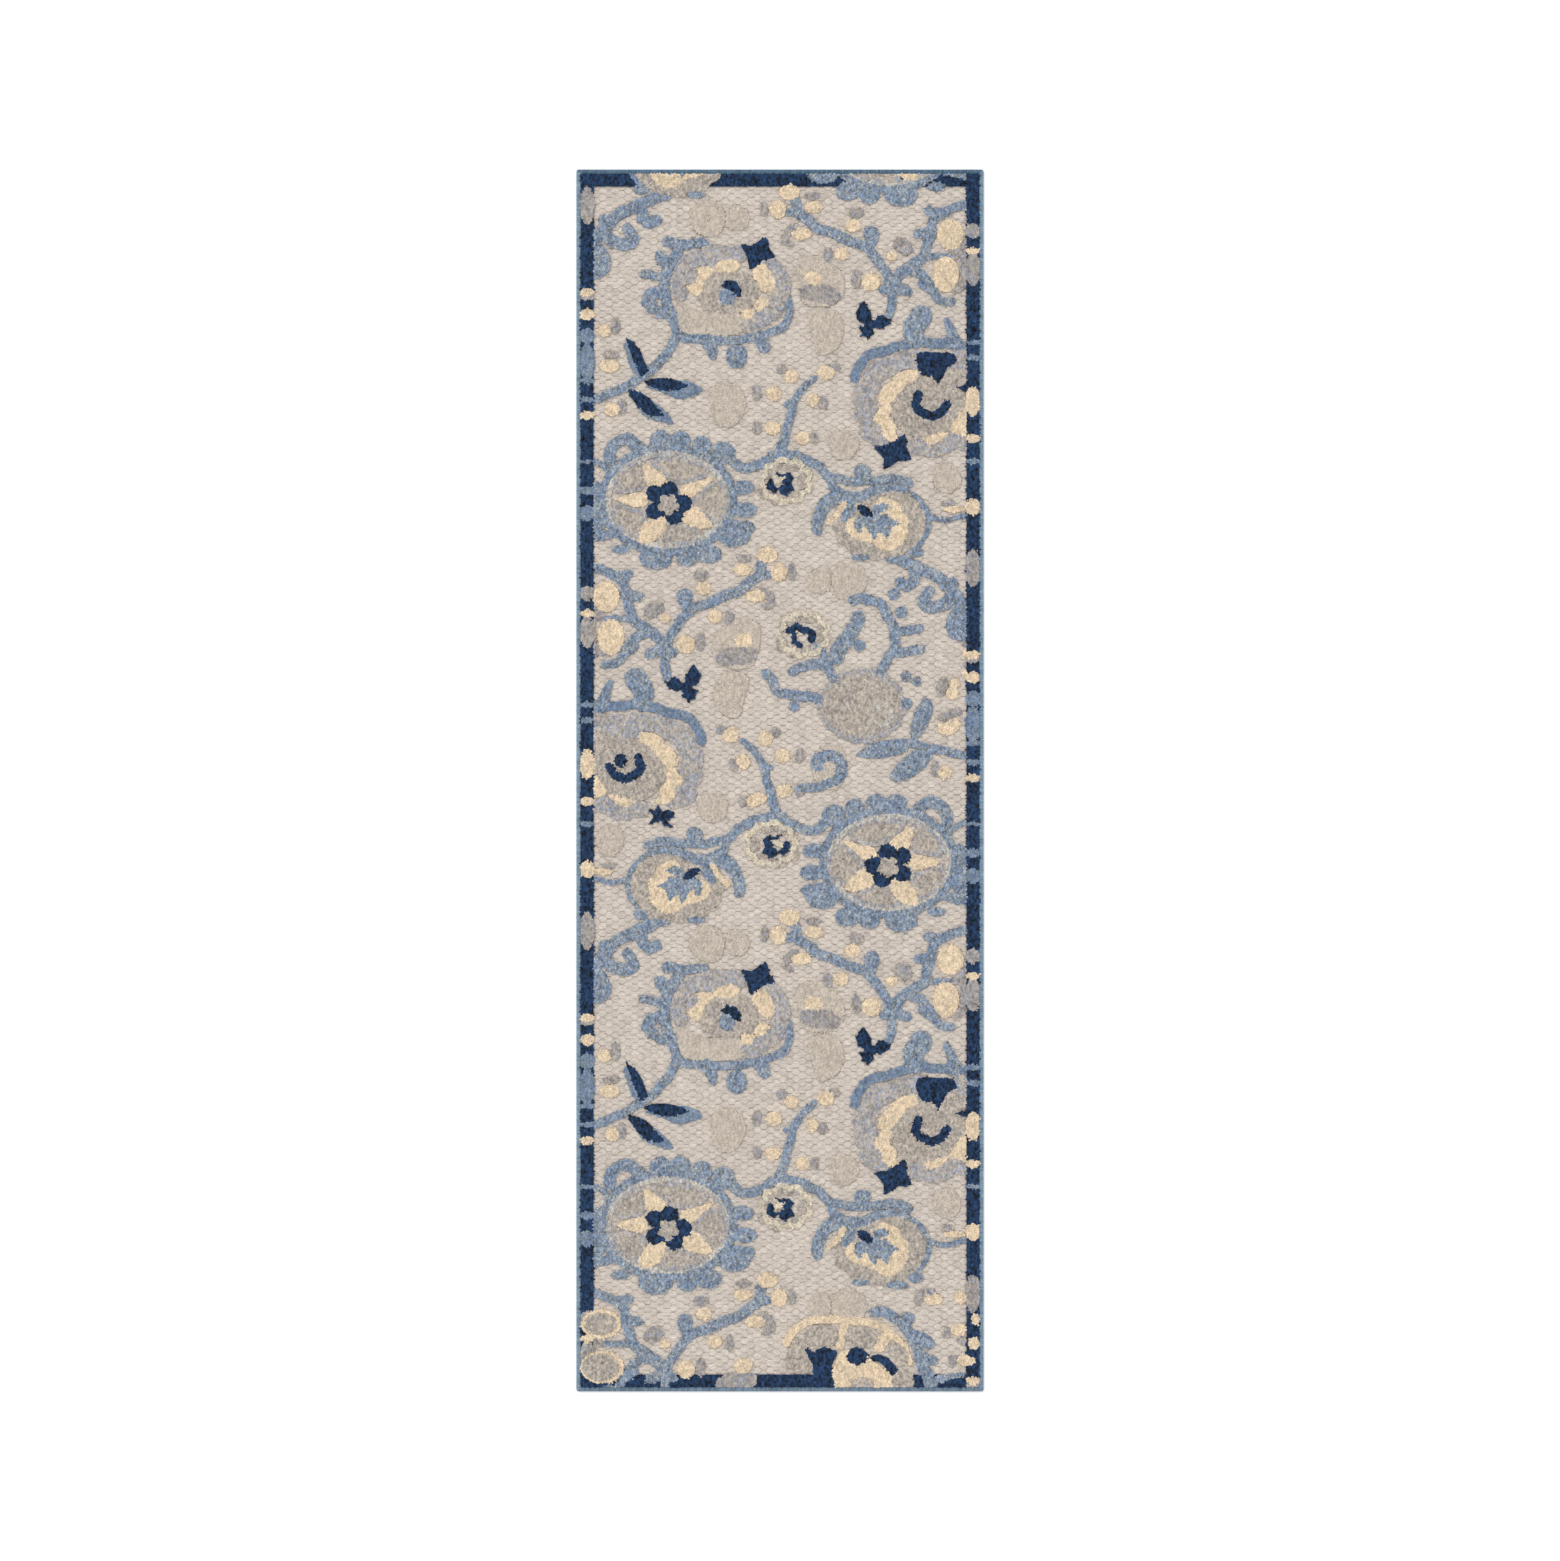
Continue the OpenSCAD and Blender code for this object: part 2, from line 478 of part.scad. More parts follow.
            translate([pineapple_r[0] - abs(sin(turn)) * (pineapple_r[0] - pineapple_r[1]), 0])
                oval(0, 0, 22, 32);
    if (name == "pineapple_bodies") second_halves() oval(124, 112, 118, 92);
    if (name == "pineapple_collars") second_halves() difference() {
        ring(154, 97, 36, 34, 5);
        patch([[130, 84], [148, 96], [130, 108]]);
    }
    if (name == "pineapple_leaves") second_halves() {
        stroke([[20, 163], [40, 172], [60, 175], [75, 165], [82, 152]], 14);
        stroke([[55, 200], [75, 178]], 12);
        stroke([[85, 185], [95, 205], [110, 225], [118, 245]], [24, 20]);
        oval(120, 202, 18);
        stroke([[-20, 160], [-10, 150], [-5, 135], [5, 130], [25, 128], [60, 122]], 14);
        oval(22, 112, 16);
        stroke([[110, 270], [130, 272], [150, 265], [160, 250], [168, 235], [173, 215], [172, 200],
            [160, 178],
            [152, 165]], [15, 14]);
        stroke([[178, 222], [210, 228]], 13);
        stroke([[178, 190], [212, 197]], 13);
        dots([[172, 279, 18], [182, 252, 18], [190, 155, 16], [205, 148, 14], [190, 115, 18]]);
        stroke([[28, -12], [58, -9], [84, 0], [94, 16], [88, 32], [72, 38], [58, 31], [57, 22]],
            [12, 20]);
    }
    if (name == "blue_leaves") second_halves() {
        blob([[218, 125], [228, 118], [230, 105], [222, 85], [212, 68], [197, 62], [200, 95]]);
        blob([[115, 38], [130, 50], [150, 58], [200, 62], [190, 45], [165, 36], [140, 33]]);
        blob([[165, 2], [172, 18], [185, 32], [205, 45], [232, 52], [222, 25], [205, 10], [185, 0]]);
        stroke([[200, 55], [235, 47], [282, 36]], 12);
    }
    if (name == "dark_sprigs") second_halves() {
        patch([[-196, -42], [-186, -45], [-181, -36], [-176, -47], [-166, -43], [-156, -50], [-162, -57],
            [-170, -58], [-158, -71], [-170, -68], [-178, -60], [-196, -66], [-188, -54]]);
        band_spots([[857, 14]]);
    }
    if (name == "end_petals") end_motif() {
        blob([[12, -850], [20, -835], [34, -838], [46, -860], [46, -884], [14, -886], [6, -868]]);
        blob([[34, -832], [48, -816], [80, -818], [84, -842], [66, -846], [46, -844]]);
        blob([[94, -834], [102, -820], [132, -822], [146, -838], [128, -848], [108, -842]]);
        blob([[160, -850], [172, -840], [190, -856], [186, -876], [170, -866]]);
        blob([[104, -900], [116, -892], [134, -896], [138, -912], [104, -912]]);
        blob([[170, -884], [196, -888], [196, -912], [168, -912]]);
        dots([[-270, -813, 50, 34], [-270, -878, 56, 42]]);
    }
    if (name == "end_body") end_motif() {
        blob([[76, -912], [78, -880], [86, -858], [100, -852], [128, -862], [152, -880], [166, -890],
            [172, -912]]);
        stroke([[8, -842], [20, -822], [46, -808], [78, -806], [104, -808], [136, -812], [160, -824],
            [182, -846],
            [192, -870]], [12, 10]);
        stroke([[88, -846], [94, -816]], 12);
        stroke([[146, -848], [158, -832]], 16);
        dots([[-270, -813, 60, 44], [-268, -878, 66, 50]]);
        dots([[228, -776, 28, 18], [268, -774, 20, 20], [265, -822, 24, 20], [290, -806, 14, 18],
            [288, -842, 18, 20], [276, -868, 30, 16]]);
    }
    if (name == "end_vines") end_motif() {
        stroke([[138, -796], [158, -796], [178, -810], [193, -828], [204, -850], [212, -876],
            [224, -905]], [15, 18]);
        stroke([[184, -806], [192, -804]], 16);
        stroke([[204, -832], [222, -842]], [20, 16]);
        stroke([[214, -868], [228, -868]], 14);
        stroke([[226, -900], [250, -892], [272, -890]], [14, 6]);
    }
    if (name == "end_shades") end_motif() {
        stroke([[226, -764], [208, -768], [204, -780]], 10);
        dots([[248, -826, 12, 18], [270, -838, 16, 12], [256, -868, 12, 18]]);
    }
    if (name == "end_stems") end_motif() {
        blob([[52, -852], [62, -848], [84, -856], [76, -872], [76, -890], [80, -918], [40, -918],
            [48, -890], [46, -868]]);
        stroke([[38, -852], [48, -866]], [7, 12]);
        blob([[96, -862], [104, -850], [114, -848], [132, -860], [126, -872], [112, -874], [100, -870]]);
        stroke([[138, -864], [156, -868], [166, -882]], [9, 15]);
    }
}
// ---- pile ----
module laid(name) intersection() {
    square([woven_w, woven_l], center = true);
    drawing(name);
}
// what is left of an area once the later ones have taken their place
module left_over(name) difference() {
    laid(name);
    for (i = [search([name], PILE)[0] + 1 : 1 : len(PILE) - 1]) laid(PILE[i]);
}
// stripes thinner than the loom can weave are dropped, and a seam is left all round
module pile(name) translate([0, 0, pile_z]) linear_extrude(pile_h) offset(delta = -seam) intersection() {
    left_over(name);
    offset(delta = thinnest / 2) offset(delta = -thinnest / 2) left_over(name);
}

module ghost_patches() color(GREIGE) pile("ghost_patches");
module border_band() color(NAVY) pile("border_band");
module berry_shades() color(LILAC) pile("berry_shades");
module sprig_stems() color(DENIM) pile("sprig_stems");
module berry_branches() color(DENIM) pile("berry_branches");
module main_vines() color(DENIM) pile("main_vines");
module scrolls() color(DENIM) pile("scrolls");
module peony_arches() color(PALE_BLUE) pile("peony_arches");
module peony_petals() color(HEATHER) pile("peony_petals");
module peony_leaves() color(DENIM) pile("peony_leaves");
module tear_petals() color(TAUPE) pile("tear_petals");
module tear_outlines() color(DENIM) pile("tear_outlines");
module round_petals() color(HEATHER) pile("round_petals");
module small_petals() color(TAUPE) pile("small_petals");
module pineapple_scallops() color(HEATHER) pile("pineapple_scallops");
module pineapple_bodies() color(TAUPE) pile("pineapple_bodies");
module pineapple_leaves() color(DENIM) pile("pineapple_leaves");
module blue_leaves() color(DENIM) pile("blue_leaves");
module medallion_fringes() color(DENIM) pile("medallion_fringes");
module medallion_rims() color(MIST) pile("medallion_rims");
module medallion_petals() color(TAUPE) pile("medallion_petals");
module medallion_shades() color(HEATHER) pile("medallion_shades");
module medallion_stars() color(CREAM) pile("medallion_stars");
module medallion_hearts() color(NAVY) pile("medallion_hearts");
module medallion_eyes() color(TAUPE) pile("medallion_eyes");
module round_ruffs() color(CREAM) pile("round_ruffs");
module round_discs() color(TAUPE) pile("round_discs");
module round_eyes() color(DENIM) pile("round_eyes");
module round_crescents() color(NAVY) pile("round_crescents");
module peony_ruffs() color(CREAM) pile("peony_ruffs");
module peony_discs() color(TAUPE) pile("peony_discs");
module peony_crescents() color(NAVY) pile("peony_crescents");
module peony_caps() color(NAVY) pile("peony_caps");
module tear_cups() color(CREAM) pile("tear_cups");
module tear_lobes() color(DENIM) pile("tear_lobes");
module tear_seeds() color(NAVY) pile("tear_seeds");
module small_rings() color(CREAM) pile("small_rings");
module small_spots() color(NAVY) pile("small_spots");
module pineapple_collars() color(MIST) pile("pineapple_collars");
module leaf_edges() color(PALE_BLUE) pile("leaf_edges");
module navy_leaves() color(NAVY) pile("navy_leaves");
module trefoils() color(NAVY) pile("trefoils");
module stars() color(NAVY) pile("stars");
module dark_sprigs() color(NAVY) pile("dark_sprigs");
module end_petals() color(TAUPE) pile("end_petals");
module end_vines() color(DENIM) pile("end_vines");
module end_shades() color(LILAC) pile("end_shades");
module end_body() color(CREAM) pile("end_body");
module end_stems() color(NAVY) pile("end_stems");
module berries() color(CREAM) pile("berries");

// ---- foundation ----
// a flat rectangle with round corners
module plate(w, l, r) {
    square([w - 2 * r, l], center = true);
    square([w, l - 2 * r], center = true);
    for (x = [-1, 1]) for (y = [-1, 1]) translate([x * (w / 2 - r), y * (l / 2 - r)]) circle(r, $fn = 32);
}
// the cloth stops where the edge yarn wraps round it
cloth_w = rug_w - 2 * wrap_t;
cloth_l = rug_l - 2 * wrap_t;
cloth_r = corner_r - wrap_t;
module back_coat() color("#8b8377") linear_extrude(coat_t) square([woven_w, woven_l], center = true);
module picks(z, first_y) intersection() {
    translate([0, 0, z]) linear_extrude(weft_t) plate(cloth_w, cloth_l, cloth_r);
    for (y = [first_y : weft_pitch : cloth_l / 2 - weft_w / 2])
        translate([-cloth_w / 2, y - weft_w / 2, z]) cube([cloth_w, weft_w, weft_t]);
}
module weft_under() color("#b79d78") picks(under_z, -cloth_l / 2 + weft_w / 2);
module weft_over() color("#b79d78") picks(over_z, -cloth_l / 2 + (weft_w + weft_pitch) / 2);
module stuffer_warp() color("#cbbca6") {
    pitch = stuffer_w + stuffer_gap;
    count = floor((cloth_w - 2 * corner_r + stuffer_gap) / pitch);
    for (i = [0 : count - 1])
        translate([(i - (count - 1) / 2) * pitch - stuffer_w / 2, -cloth_l / 2, stuffer_z])
            cube([stuffer_w, cloth_l, stuffer_t]);
}
module ground_weave() color(ECRU) translate([0, 0, ground_z]) linear_extrude(ground_t)
    plate(cloth_w, cloth_l, cloth_r);

// ---- overcast edge ----
// the yarn passes under the cloth, round its cut edge and over the ground
module overcast() {
    linear_extrude(coat_t) difference() {
        plate(rug_w, rug_l, corner_r);
        square([woven_w, woven_l], center = true);
    }
    translate([0, 0, coat_t]) linear_extrude(pile_z - coat_t) difference() {
        plate(rug_w, rug_l, corner_r);
        plate(cloth_w, cloth_l, cloth_r);
    }
    translate([0, 0, pile_z]) linear_extrude(cap_t) difference() {
        plate(rug_w, rug_l, corner_r);
        square([woven_w, woven_l], center = true);
    }
}
// one run of the edge yarn, cut off along the mitre at each corner
module run_of_yarn(outline) color(STEEL_BLUE) intersection() {
    overcast();
    linear_extrude(top_z) polygon(outline);
}
module serging_left() run_of_yarn([[-half_w, -half_l], [0, half_w - half_l], [0, half_l - half_w],
    [-half_w, half_l]]);
module serging_right() run_of_yarn([[half_w, -half_l], [half_w, half_l], [0, half_l - half_w],
    [0, half_w - half_l]]);
module serging_far() run_of_yarn([[-half_w, half_l], [0, half_l - half_w], [half_w, half_l]]);
module serging_near() run_of_yarn([[-half_w, -half_l], [half_w, -half_l], [0, half_w - half_l]]);

back_coat();
weft_under();
stuffer_warp();
weft_over();
ground_weave();
serging_left();
serging_right();
serging_far();
serging_near();
ghost_patches();
border_band();
berry_shades();
sprig_stems();
berry_branches();
main_vines();
scrolls();
peony_arches();
peony_petals();
peony_leaves();
tear_petals();
tear_outlines();
round_petals();
small_petals();
pineapple_scallops();
pineapple_bodies();
pineapple_leaves();
blue_leaves();
medallion_fringes();
medallion_rims();
medallion_petals();
medallion_shades();
medallion_stars();
medallion_hearts();
medallion_eyes();
round_ruffs();
round_discs();
round_eyes();
round_crescents();
peony_ruffs();
peony_discs();
peony_crescents();
peony_caps();
tear_cups();
tear_lobes();
tear_seeds();
small_rings();
small_spots();
pineapple_collars();
leaf_edges();
navy_leaves();
trefoils();
stars();
dark_sprigs();
end_petals();
end_body();
end_vines();
end_shades();
end_stems();
berries();
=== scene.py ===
# %% [markdown]
# # A runner rug with a raised vine pattern
# The rug is woven on a loom that makes two things at once: a flat net ground, and cut pile that
# stands up only where the pattern asks for it. An overcast yarn closes the four edges.

# %% Load the frame
import json
import math
import bmesh
import bpy
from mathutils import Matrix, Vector


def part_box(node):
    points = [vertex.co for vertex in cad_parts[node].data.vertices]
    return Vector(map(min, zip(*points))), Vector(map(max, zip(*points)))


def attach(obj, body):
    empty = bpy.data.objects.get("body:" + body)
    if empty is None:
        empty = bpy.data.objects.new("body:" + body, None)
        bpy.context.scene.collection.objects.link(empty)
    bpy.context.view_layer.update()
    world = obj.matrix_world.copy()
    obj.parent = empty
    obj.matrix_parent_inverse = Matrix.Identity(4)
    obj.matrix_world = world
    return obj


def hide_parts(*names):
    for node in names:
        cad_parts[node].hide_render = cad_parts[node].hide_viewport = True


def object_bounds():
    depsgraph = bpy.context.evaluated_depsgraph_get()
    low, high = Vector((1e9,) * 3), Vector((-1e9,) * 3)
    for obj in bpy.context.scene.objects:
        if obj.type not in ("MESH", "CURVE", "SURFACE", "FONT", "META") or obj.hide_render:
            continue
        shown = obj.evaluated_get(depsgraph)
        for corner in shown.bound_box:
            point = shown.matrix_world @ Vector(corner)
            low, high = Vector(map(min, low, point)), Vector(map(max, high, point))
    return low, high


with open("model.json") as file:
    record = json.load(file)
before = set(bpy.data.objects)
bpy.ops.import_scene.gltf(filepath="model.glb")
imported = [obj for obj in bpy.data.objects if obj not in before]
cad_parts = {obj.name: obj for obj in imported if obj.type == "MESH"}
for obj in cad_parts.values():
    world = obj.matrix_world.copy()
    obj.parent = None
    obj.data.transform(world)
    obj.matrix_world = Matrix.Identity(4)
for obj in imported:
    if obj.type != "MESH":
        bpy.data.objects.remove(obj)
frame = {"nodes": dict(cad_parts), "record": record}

cad_low, cad_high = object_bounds()
MM = 0.001
rug_w, rug_l = cad_high.x - cad_low.x, cad_high.y - cad_low.y
print(f"rug {rug_w / MM:.0f} x {rug_l / MM:.0f} mm, {len(frame['nodes'])} nodes")

# %% [markdown]
# ## Camera
# The rug is shown flat, from straight above, with a wide margin of floor round it. A long lens
# high up keeps the two long edges parallel. A camera looks along its own -Z, so with no rotation
# it already looks straight down, and the far end of the rug is at the top.

# %% Camera
SHOWN_LENGTH = 2.337  # metres of floor from the bottom of the picture to the top
LENS, SENSOR = 100, 36

camera_data = bpy.data.cameras.new("camera")
camera_data.lens, camera_data.sensor_width = LENS, SENSOR
camera_data.clip_end = 50
camera = bpy.data.objects.new("camera", camera_data)
camera.location = (0.0, 0.0, SHOWN_LENGTH * LENS / SENSOR)
bpy.context.scene.collection.objects.link(camera)
bpy.context.scene.camera = camera
print(f"camera {camera.location.z:.2f} m above the floor")

# %% [markdown]
# ## Floor and light
# A product shot on white has a floor that is as bright as the page, and light from everywhere, so
# that a thin rug throws almost no shadow. The world gives that light. One wide sun lamp from the
# far left is enough to show which way the pile stands, and it lights the whole floor alike. The
# Standard view transform keeps the yarn colours as they are dyed.

# %% Floor and light
bpy.context.scene.view_settings.view_transform = "Standard"
bpy.context.scene.view_settings.look = "None"

world = bpy.data.worlds.new("studio")
world.use_nodes = True
world.node_tree.nodes["Background"].inputs["Color"].default_value = (1.0, 1.0, 1.0, 1.0)
world.node_tree.nodes["Background"].inputs["Strength"].default_value = 0.8
bpy.context.scene.world = world

lamp_data = bpy.data.lights.new("softbox", "SUN")
lamp_data.energy, lamp_data.angle = 1.1, math.radians(50)
lamp = bpy.data.objects.new("softbox", lamp_data)
lamp.rotation_euler = (math.radians(-28), math.radians(-26), 0)
bpy.context.scene.collection.objects.link(lamp)

FLOOR_REACH = 20  # metres from the rug's middle to each side of the floor
floor_corners = [(x * FLOOR_REACH, y * FLOOR_REACH, 0) for x, y in ((-1, -1), (1, -1), (1, 1), (-1, 1))]
floor_mesh = bpy.data.meshes.new("floor")
floor_mesh.from_pydata(floor_corners, [], [(0, 1, 2, 3)])
floor = bpy.data.objects.new("floor", floor_mesh)
floor.location.z = -0.2 * MM
bpy.context.scene.collection.objects.link(floor)
paper = bpy.data.materials.new("white floor")
paper.use_nodes = True
paper_finish = {"Base Color": (0.97, 0.97, 0.97, 1.0), "Roughness": 1.0, "Specular IOR Level": 0.0,
                "Emission Color": (1.0, 1.0, 1.0, 1.0), "Emission Strength": 0.1}
for label, value in paper_finish.items():
    paper.node_tree.nodes["Principled BSDF"].inputs[label].default_value = value
floor_mesh.materials.append(paper)
print("floor, softbox and an even white world")

# %% [markdown]
# ## Building node trees by hand
# A node tree is a list of nodes and the links between them. This helper adds one node, sets its
# options, and for each input takes either a plain value or another node's output to link.
# Colours are written as they look on a screen, 0 to 255, and turned into the linear numbers that
# a shader works in.

# %% Helpers for node trees
def add_node(tree, kind, inputs=(), **options):
    made = tree.nodes.new(kind)
    for option, value in options.items():
        setattr(made, option, value)
    for key, value in dict(inputs).items():
        if isinstance(value, bpy.types.NodeSocket):
            tree.links.new(value, made.inputs[key])
        else:
            made.inputs[key].default_value = value
    return made


def math_node(tree, operation, a, b=0.0, c=0.0):
    return add_node(tree, "ShaderNodeMath", {0: a, 1: b, 2: c}, operation=operation).outputs[0]


def dyed(red, green, blue):
    """A screen colour as a linear one."""
    parts = [x / 255 for x in (red, green, blue)]
    return tuple(x / 12.92 if x <= 0.04045 else ((x + 0.055) / 1.055) ** 2.4 for x in parts) + (1.0,)


def new_tree(name, kind, sockets):
    """A node group with its named inputs and outputs. Each socket is (name, in or out, type, default)."""
    tree = bpy.data.node_groups.new(name, kind)
    for label, way, socket_type, default in sockets:
        made = tree.interface.new_socket(label, in_out=way, socket_type=socket_type)
        if default is not None:
            made.default_value = default
    return tree, tree.nodes.new("NodeGroupInput").outputs, tree.nodes.new("NodeGroupOutput").inputs


print("a warm cream in linear light:", [round(x, 3) for x in dyed(228, 205, 166)[:3]])

# %% [markdown]
# ## Yarn finish
# Every yarn in the rug is spun from fibres of slightly different shades, which is what gives pile
# its heather look. One shader group makes it for all of them. It mixes two dyed colours: a number
# that each tuft carries decides which it takes, and a slow noise makes the choice drift in patches.
# The tuft is painted darker towards its root, as shade from its neighbours. Two more noises give
# clumps of tufts that lean together, partly random tone and partly painted light and shade, and the
# single fibres. Grain squeezes those two along one direction, so that they lie along the pile or
# along the weft. Threads counts the ribs in a metre each way, for yarn that is woven flat, and the
# grooves between ribs get painted shade; pile has none. The group puts out a colour and a height,
# and the shader stays in the material.

# %% Yarn shader group
PATCH_PULL = 1.6  # how far a patch can push a tuft's number
COLOUR_BLEND = 0.4  # how gently one colour gives way to the other
ANOTHER_DRAW = 7.31  # turns a tuft's number into a second one
# painted shade: the groove between two ribs is darker
GROOVE_SHADE = 0.12  # how much darker the groove between two ribs is

yarn_group, given, made = new_tree("yarn", "ShaderNodeTree", [
    ("Place", "INPUT", "NodeSocketVector", None),
    ("Shade", "INPUT", "NodeSocketFloat", 0.5),
    ("First Colour", "INPUT", "NodeSocketColor", None),
    ("Second Colour", "INPUT", "NodeSocketColor", None),
    ("Second Share", "INPUT", "NodeSocketFloat", 0.3),
    ("Patch Scale", "INPUT", "NodeSocketFloat", 45.0),
    ("Unevenness", "INPUT", "NodeSocketFloat", 0.12),
    ("Clumping", "INPUT", "NodeSocketFloat", 1.9),
    ("Grain", "INPUT", "NodeSocketVector", (1.0, 0.7, 1.0)),
    ("Fibre Contrast", "INPUT", "NodeSocketFloat", 0.9),
    ("Threads", "INPUT", "NodeSocketVector", (0.0, 0.0, 0.0)),
    ("Root Height", "INPUT", "NodeSocketFloat", 0.004),
    ("Tip Height", "INPUT", "NodeSocketFloat", 0.0063),
    ("Root Shade", "INPUT", "NodeSocketFloat", 0.85),
    ("Color", "OUTPUT", "NodeSocketColor", None),
    ("Height", "OUTPUT", "NodeSocketFloat", None),
])
patches = add_node(yarn_group, "ShaderNodeTexNoise", {
    "Vector": given["Place"], "Scale": given["Patch Scale"], "Detail": 2.0})
combed = add_node(yarn_group, "ShaderNodeVectorMath", {
    0: given["Place"], 1: given["Grain"]}, operation="MULTIPLY").outputs[0]
fibres = add_node(yarn_group, "ShaderNodeTexNoise", {"Vector": combed, "Scale": 1500.0, "Detail": 2.0})
clumps = add_node(yarn_group, "ShaderNodeTexNoise", {"Vector": combed, "Scale": 270.0, "Detail": 3.0})
# the tuft's own number, pushed up or down by the patch it stands in
drift = math_node(yarn_group, "MULTIPLY_ADD", patches.outputs[0], PATCH_PULL, -PATCH_PULL / 2)
chance = math_node(yarn_group, "ADD", given["Shade"], drift)
limit = math_node(yarn_group, "SUBTRACT", 1.0, given["Second Share"])
is_second = add_node(yarn_group, "ShaderNodeMapRange", {
    "Value": math_node(yarn_group, "SUBTRACT", chance, limit), "From Min": -COLOUR_BLEND,
    "From Max": COLOUR_BLEND})
mixed = add_node(yarn_group, "ShaderNodeMix", {
    0: is_second.outputs[0], 6: given["First Colour"], 7: given["Second Colour"]}, data_type="RGBA")
# a second number out of the first, so that light and dark don't follow the colour
other_number = math_node(yarn_group, "FRACT", math_node(
    yarn_group, "MULTIPLY", given["Shade"], ANOTHER_DRAW))
swing = math_node(yarn_group, "SUBTRACT", other_number, 0.5)
uneven = math_node(yarn_group, "MULTIPLY_ADD", swing, given["Unevenness"], 1.0)
lit = uneven
# the clumps are random tone and painted light and shade of tufts that lean together
for noise, strength in ((clumps, given["Clumping"]), (fibres, given["Fibre Contrast"])):
    either_way = math_node(yarn_group, "SUBTRACT", noise.outputs[0], 0.5)
    lit = math_node(yarn_group, "MULTIPLY_ADD", either_way, strength, lit)
# 1 along the back of each rib and 0 in the groove; with no threads it is 1 everywhere
turns = add_node(yarn_group, "ShaderNodeVectorMath", {
    0: given["Place"], 1: given["Threads"]}, operation="MULTIPLY").outputs[0]
turns_xyz = add_node(yarn_group, "ShaderNodeSeparateXYZ", {0: turns}).outputs
ribs = math_node(yarn_group, "MINIMUM", *(math_node(yarn_group, "ABSOLUTE", math_node(
    yarn_group, "COSINE", math_node(yarn_group, "MULTIPLY", turns_xyz[i], math.pi))) for i in (0, 1)))
# painted shade: darker from the tip down to the root, where neighbours would shade it
up = add_node(yarn_group, "ShaderNodeSeparateXYZ", {0: given["Place"]}).outputs[2]
painted_root_shade = add_node(yarn_group, "ShaderNodeMapRange", {
    "Value": up, "From Min": given["Root Height"], "From Max": given["Tip Height"],
    "To Min": given["Root Shade"], "To Max": 1.0}).outputs[0]
# the brightness carries the painted shade of the root and of the grooves between ribs
brightness = math_node(yarn_group, "MULTIPLY", math_node(yarn_group, "MULTIPLY", lit, painted_root_shade),
                       math_node(yarn_group, "MULTIPLY_ADD", ribs, GROOVE_SHADE, 1 - GROOVE_SHADE))
shaded = add_node(yarn_group, "ShaderNodeVectorMath", {
    0: mixed.outputs[2], 1: add_node(yarn_group, "ShaderNodeCombineXYZ", {
        0: brightness, 1: brightness, 2: brightness}).outputs[0]}, operation="MULTIPLY")
yarn_group.links.new(shaded.outputs[0], made["Color"])
yarn_group.links.new(math_node(yarn_group, "ADD", fibres.outputs[0], ribs), made["Height"])
print("yarn group:", len(yarn_group.nodes), "nodes")


def yarn_material(name, first, second, roughness=0.9, sheen=0.15, bump=0.0004, **values):
    """A material of dyed yarn. The values are the group's inputs, by name."""
    material = bpy.data.materials.new(name)
    material.use_nodes = True
    tree = material.node_tree
    shader = tree.nodes["Principled BSDF"]
    shader.inputs["Roughness"].default_value = roughness
    shader.inputs["Sheen Weight"].default_value = sheen
    shader.inputs["Specular IOR Level"].default_value = 0.2
    group = add_node(tree, "ShaderNodeGroup", node_tree=yarn_group)
    place = add_node(tree, "ShaderNodeTexCoord").outputs["Object"]
    shade = add_node(tree, "ShaderNodeAttribute", attribute_name="shade").outputs["Fac"]
    tree.links.new(place, group.inputs["Place"])
    tree.links.new(shade, group.inputs["Shade"])
    group.inputs["First Colour"].default_value = dyed(*first)
    group.inputs["Second Colour"].default_value = dyed(*second)
    for label, value in values.items():
        group.inputs[label.replace("_", " ").title()].default_value = value
    relief = add_node(tree, "ShaderNodeBump", {
        "Height": group.outputs["Height"], "Distance": bump, "Strength": 0.9})
    tree.links.new(group.outputs["Color"], shader.inputs["Base Color"])
    tree.links.new(relief.outputs[0], shader.inputs["Normal"])
    return material


# %% [markdown]
# ## Turning a tree into a plain mesh
# A Geometry Nodes modifier is a recipe. Its values are set by socket identifier before the object
# is looked at for the first time, then the result is copied into an ordinary mesh, and the object
# that carried the modifier goes. The finished piece is a new object at the origin.

# %% Grow a mesh with a node tree
def grown(tree, start, values):
    """The mesh that the tree makes from the start mesh."""
    carrier = bpy.data.objects.new("carrier", start)
    bpy.context.scene.collection.objects.link(carrier)
    modifier = carrier.modifiers.new("grow", "NODES")
    modifier.node_group = tree
    for item in tree.interface.items_tree:
        if item.item_type == "SOCKET" and item.in_out == "INPUT" and item.name in values:
            modifier[item.identifier] = values[item.name]
    graph = bpy.context.evaluated_depsgraph_get()
    mesh = bpy.data.meshes.new_from_object(carrier.evaluated_get(graph), depsgraph=graph)
    bpy.data.objects.remove(carrier)
    return mesh


def show(name, mesh, material_slot, *stands_for):
    """Puts a finished mesh in the scene as a piece that stands for some CAD nodes."""
    piece = bpy.data.objects.new(name, mesh)
    bpy.context.scene.collection.objects.link(piece)
    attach(piece, "root")
    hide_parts(*stands_for)
    mesh.name = name
    mesh.calc_loop_triangles()
    return piece


# %% [markdown]
# ## What the three trees share
# Tufts and cushions both stand in brick order, every second row half a step over. Every copy of a
# shape carries its own random number, for its shade. And every tree ends in the same way: its
# instances become real faces and are given their yarn.

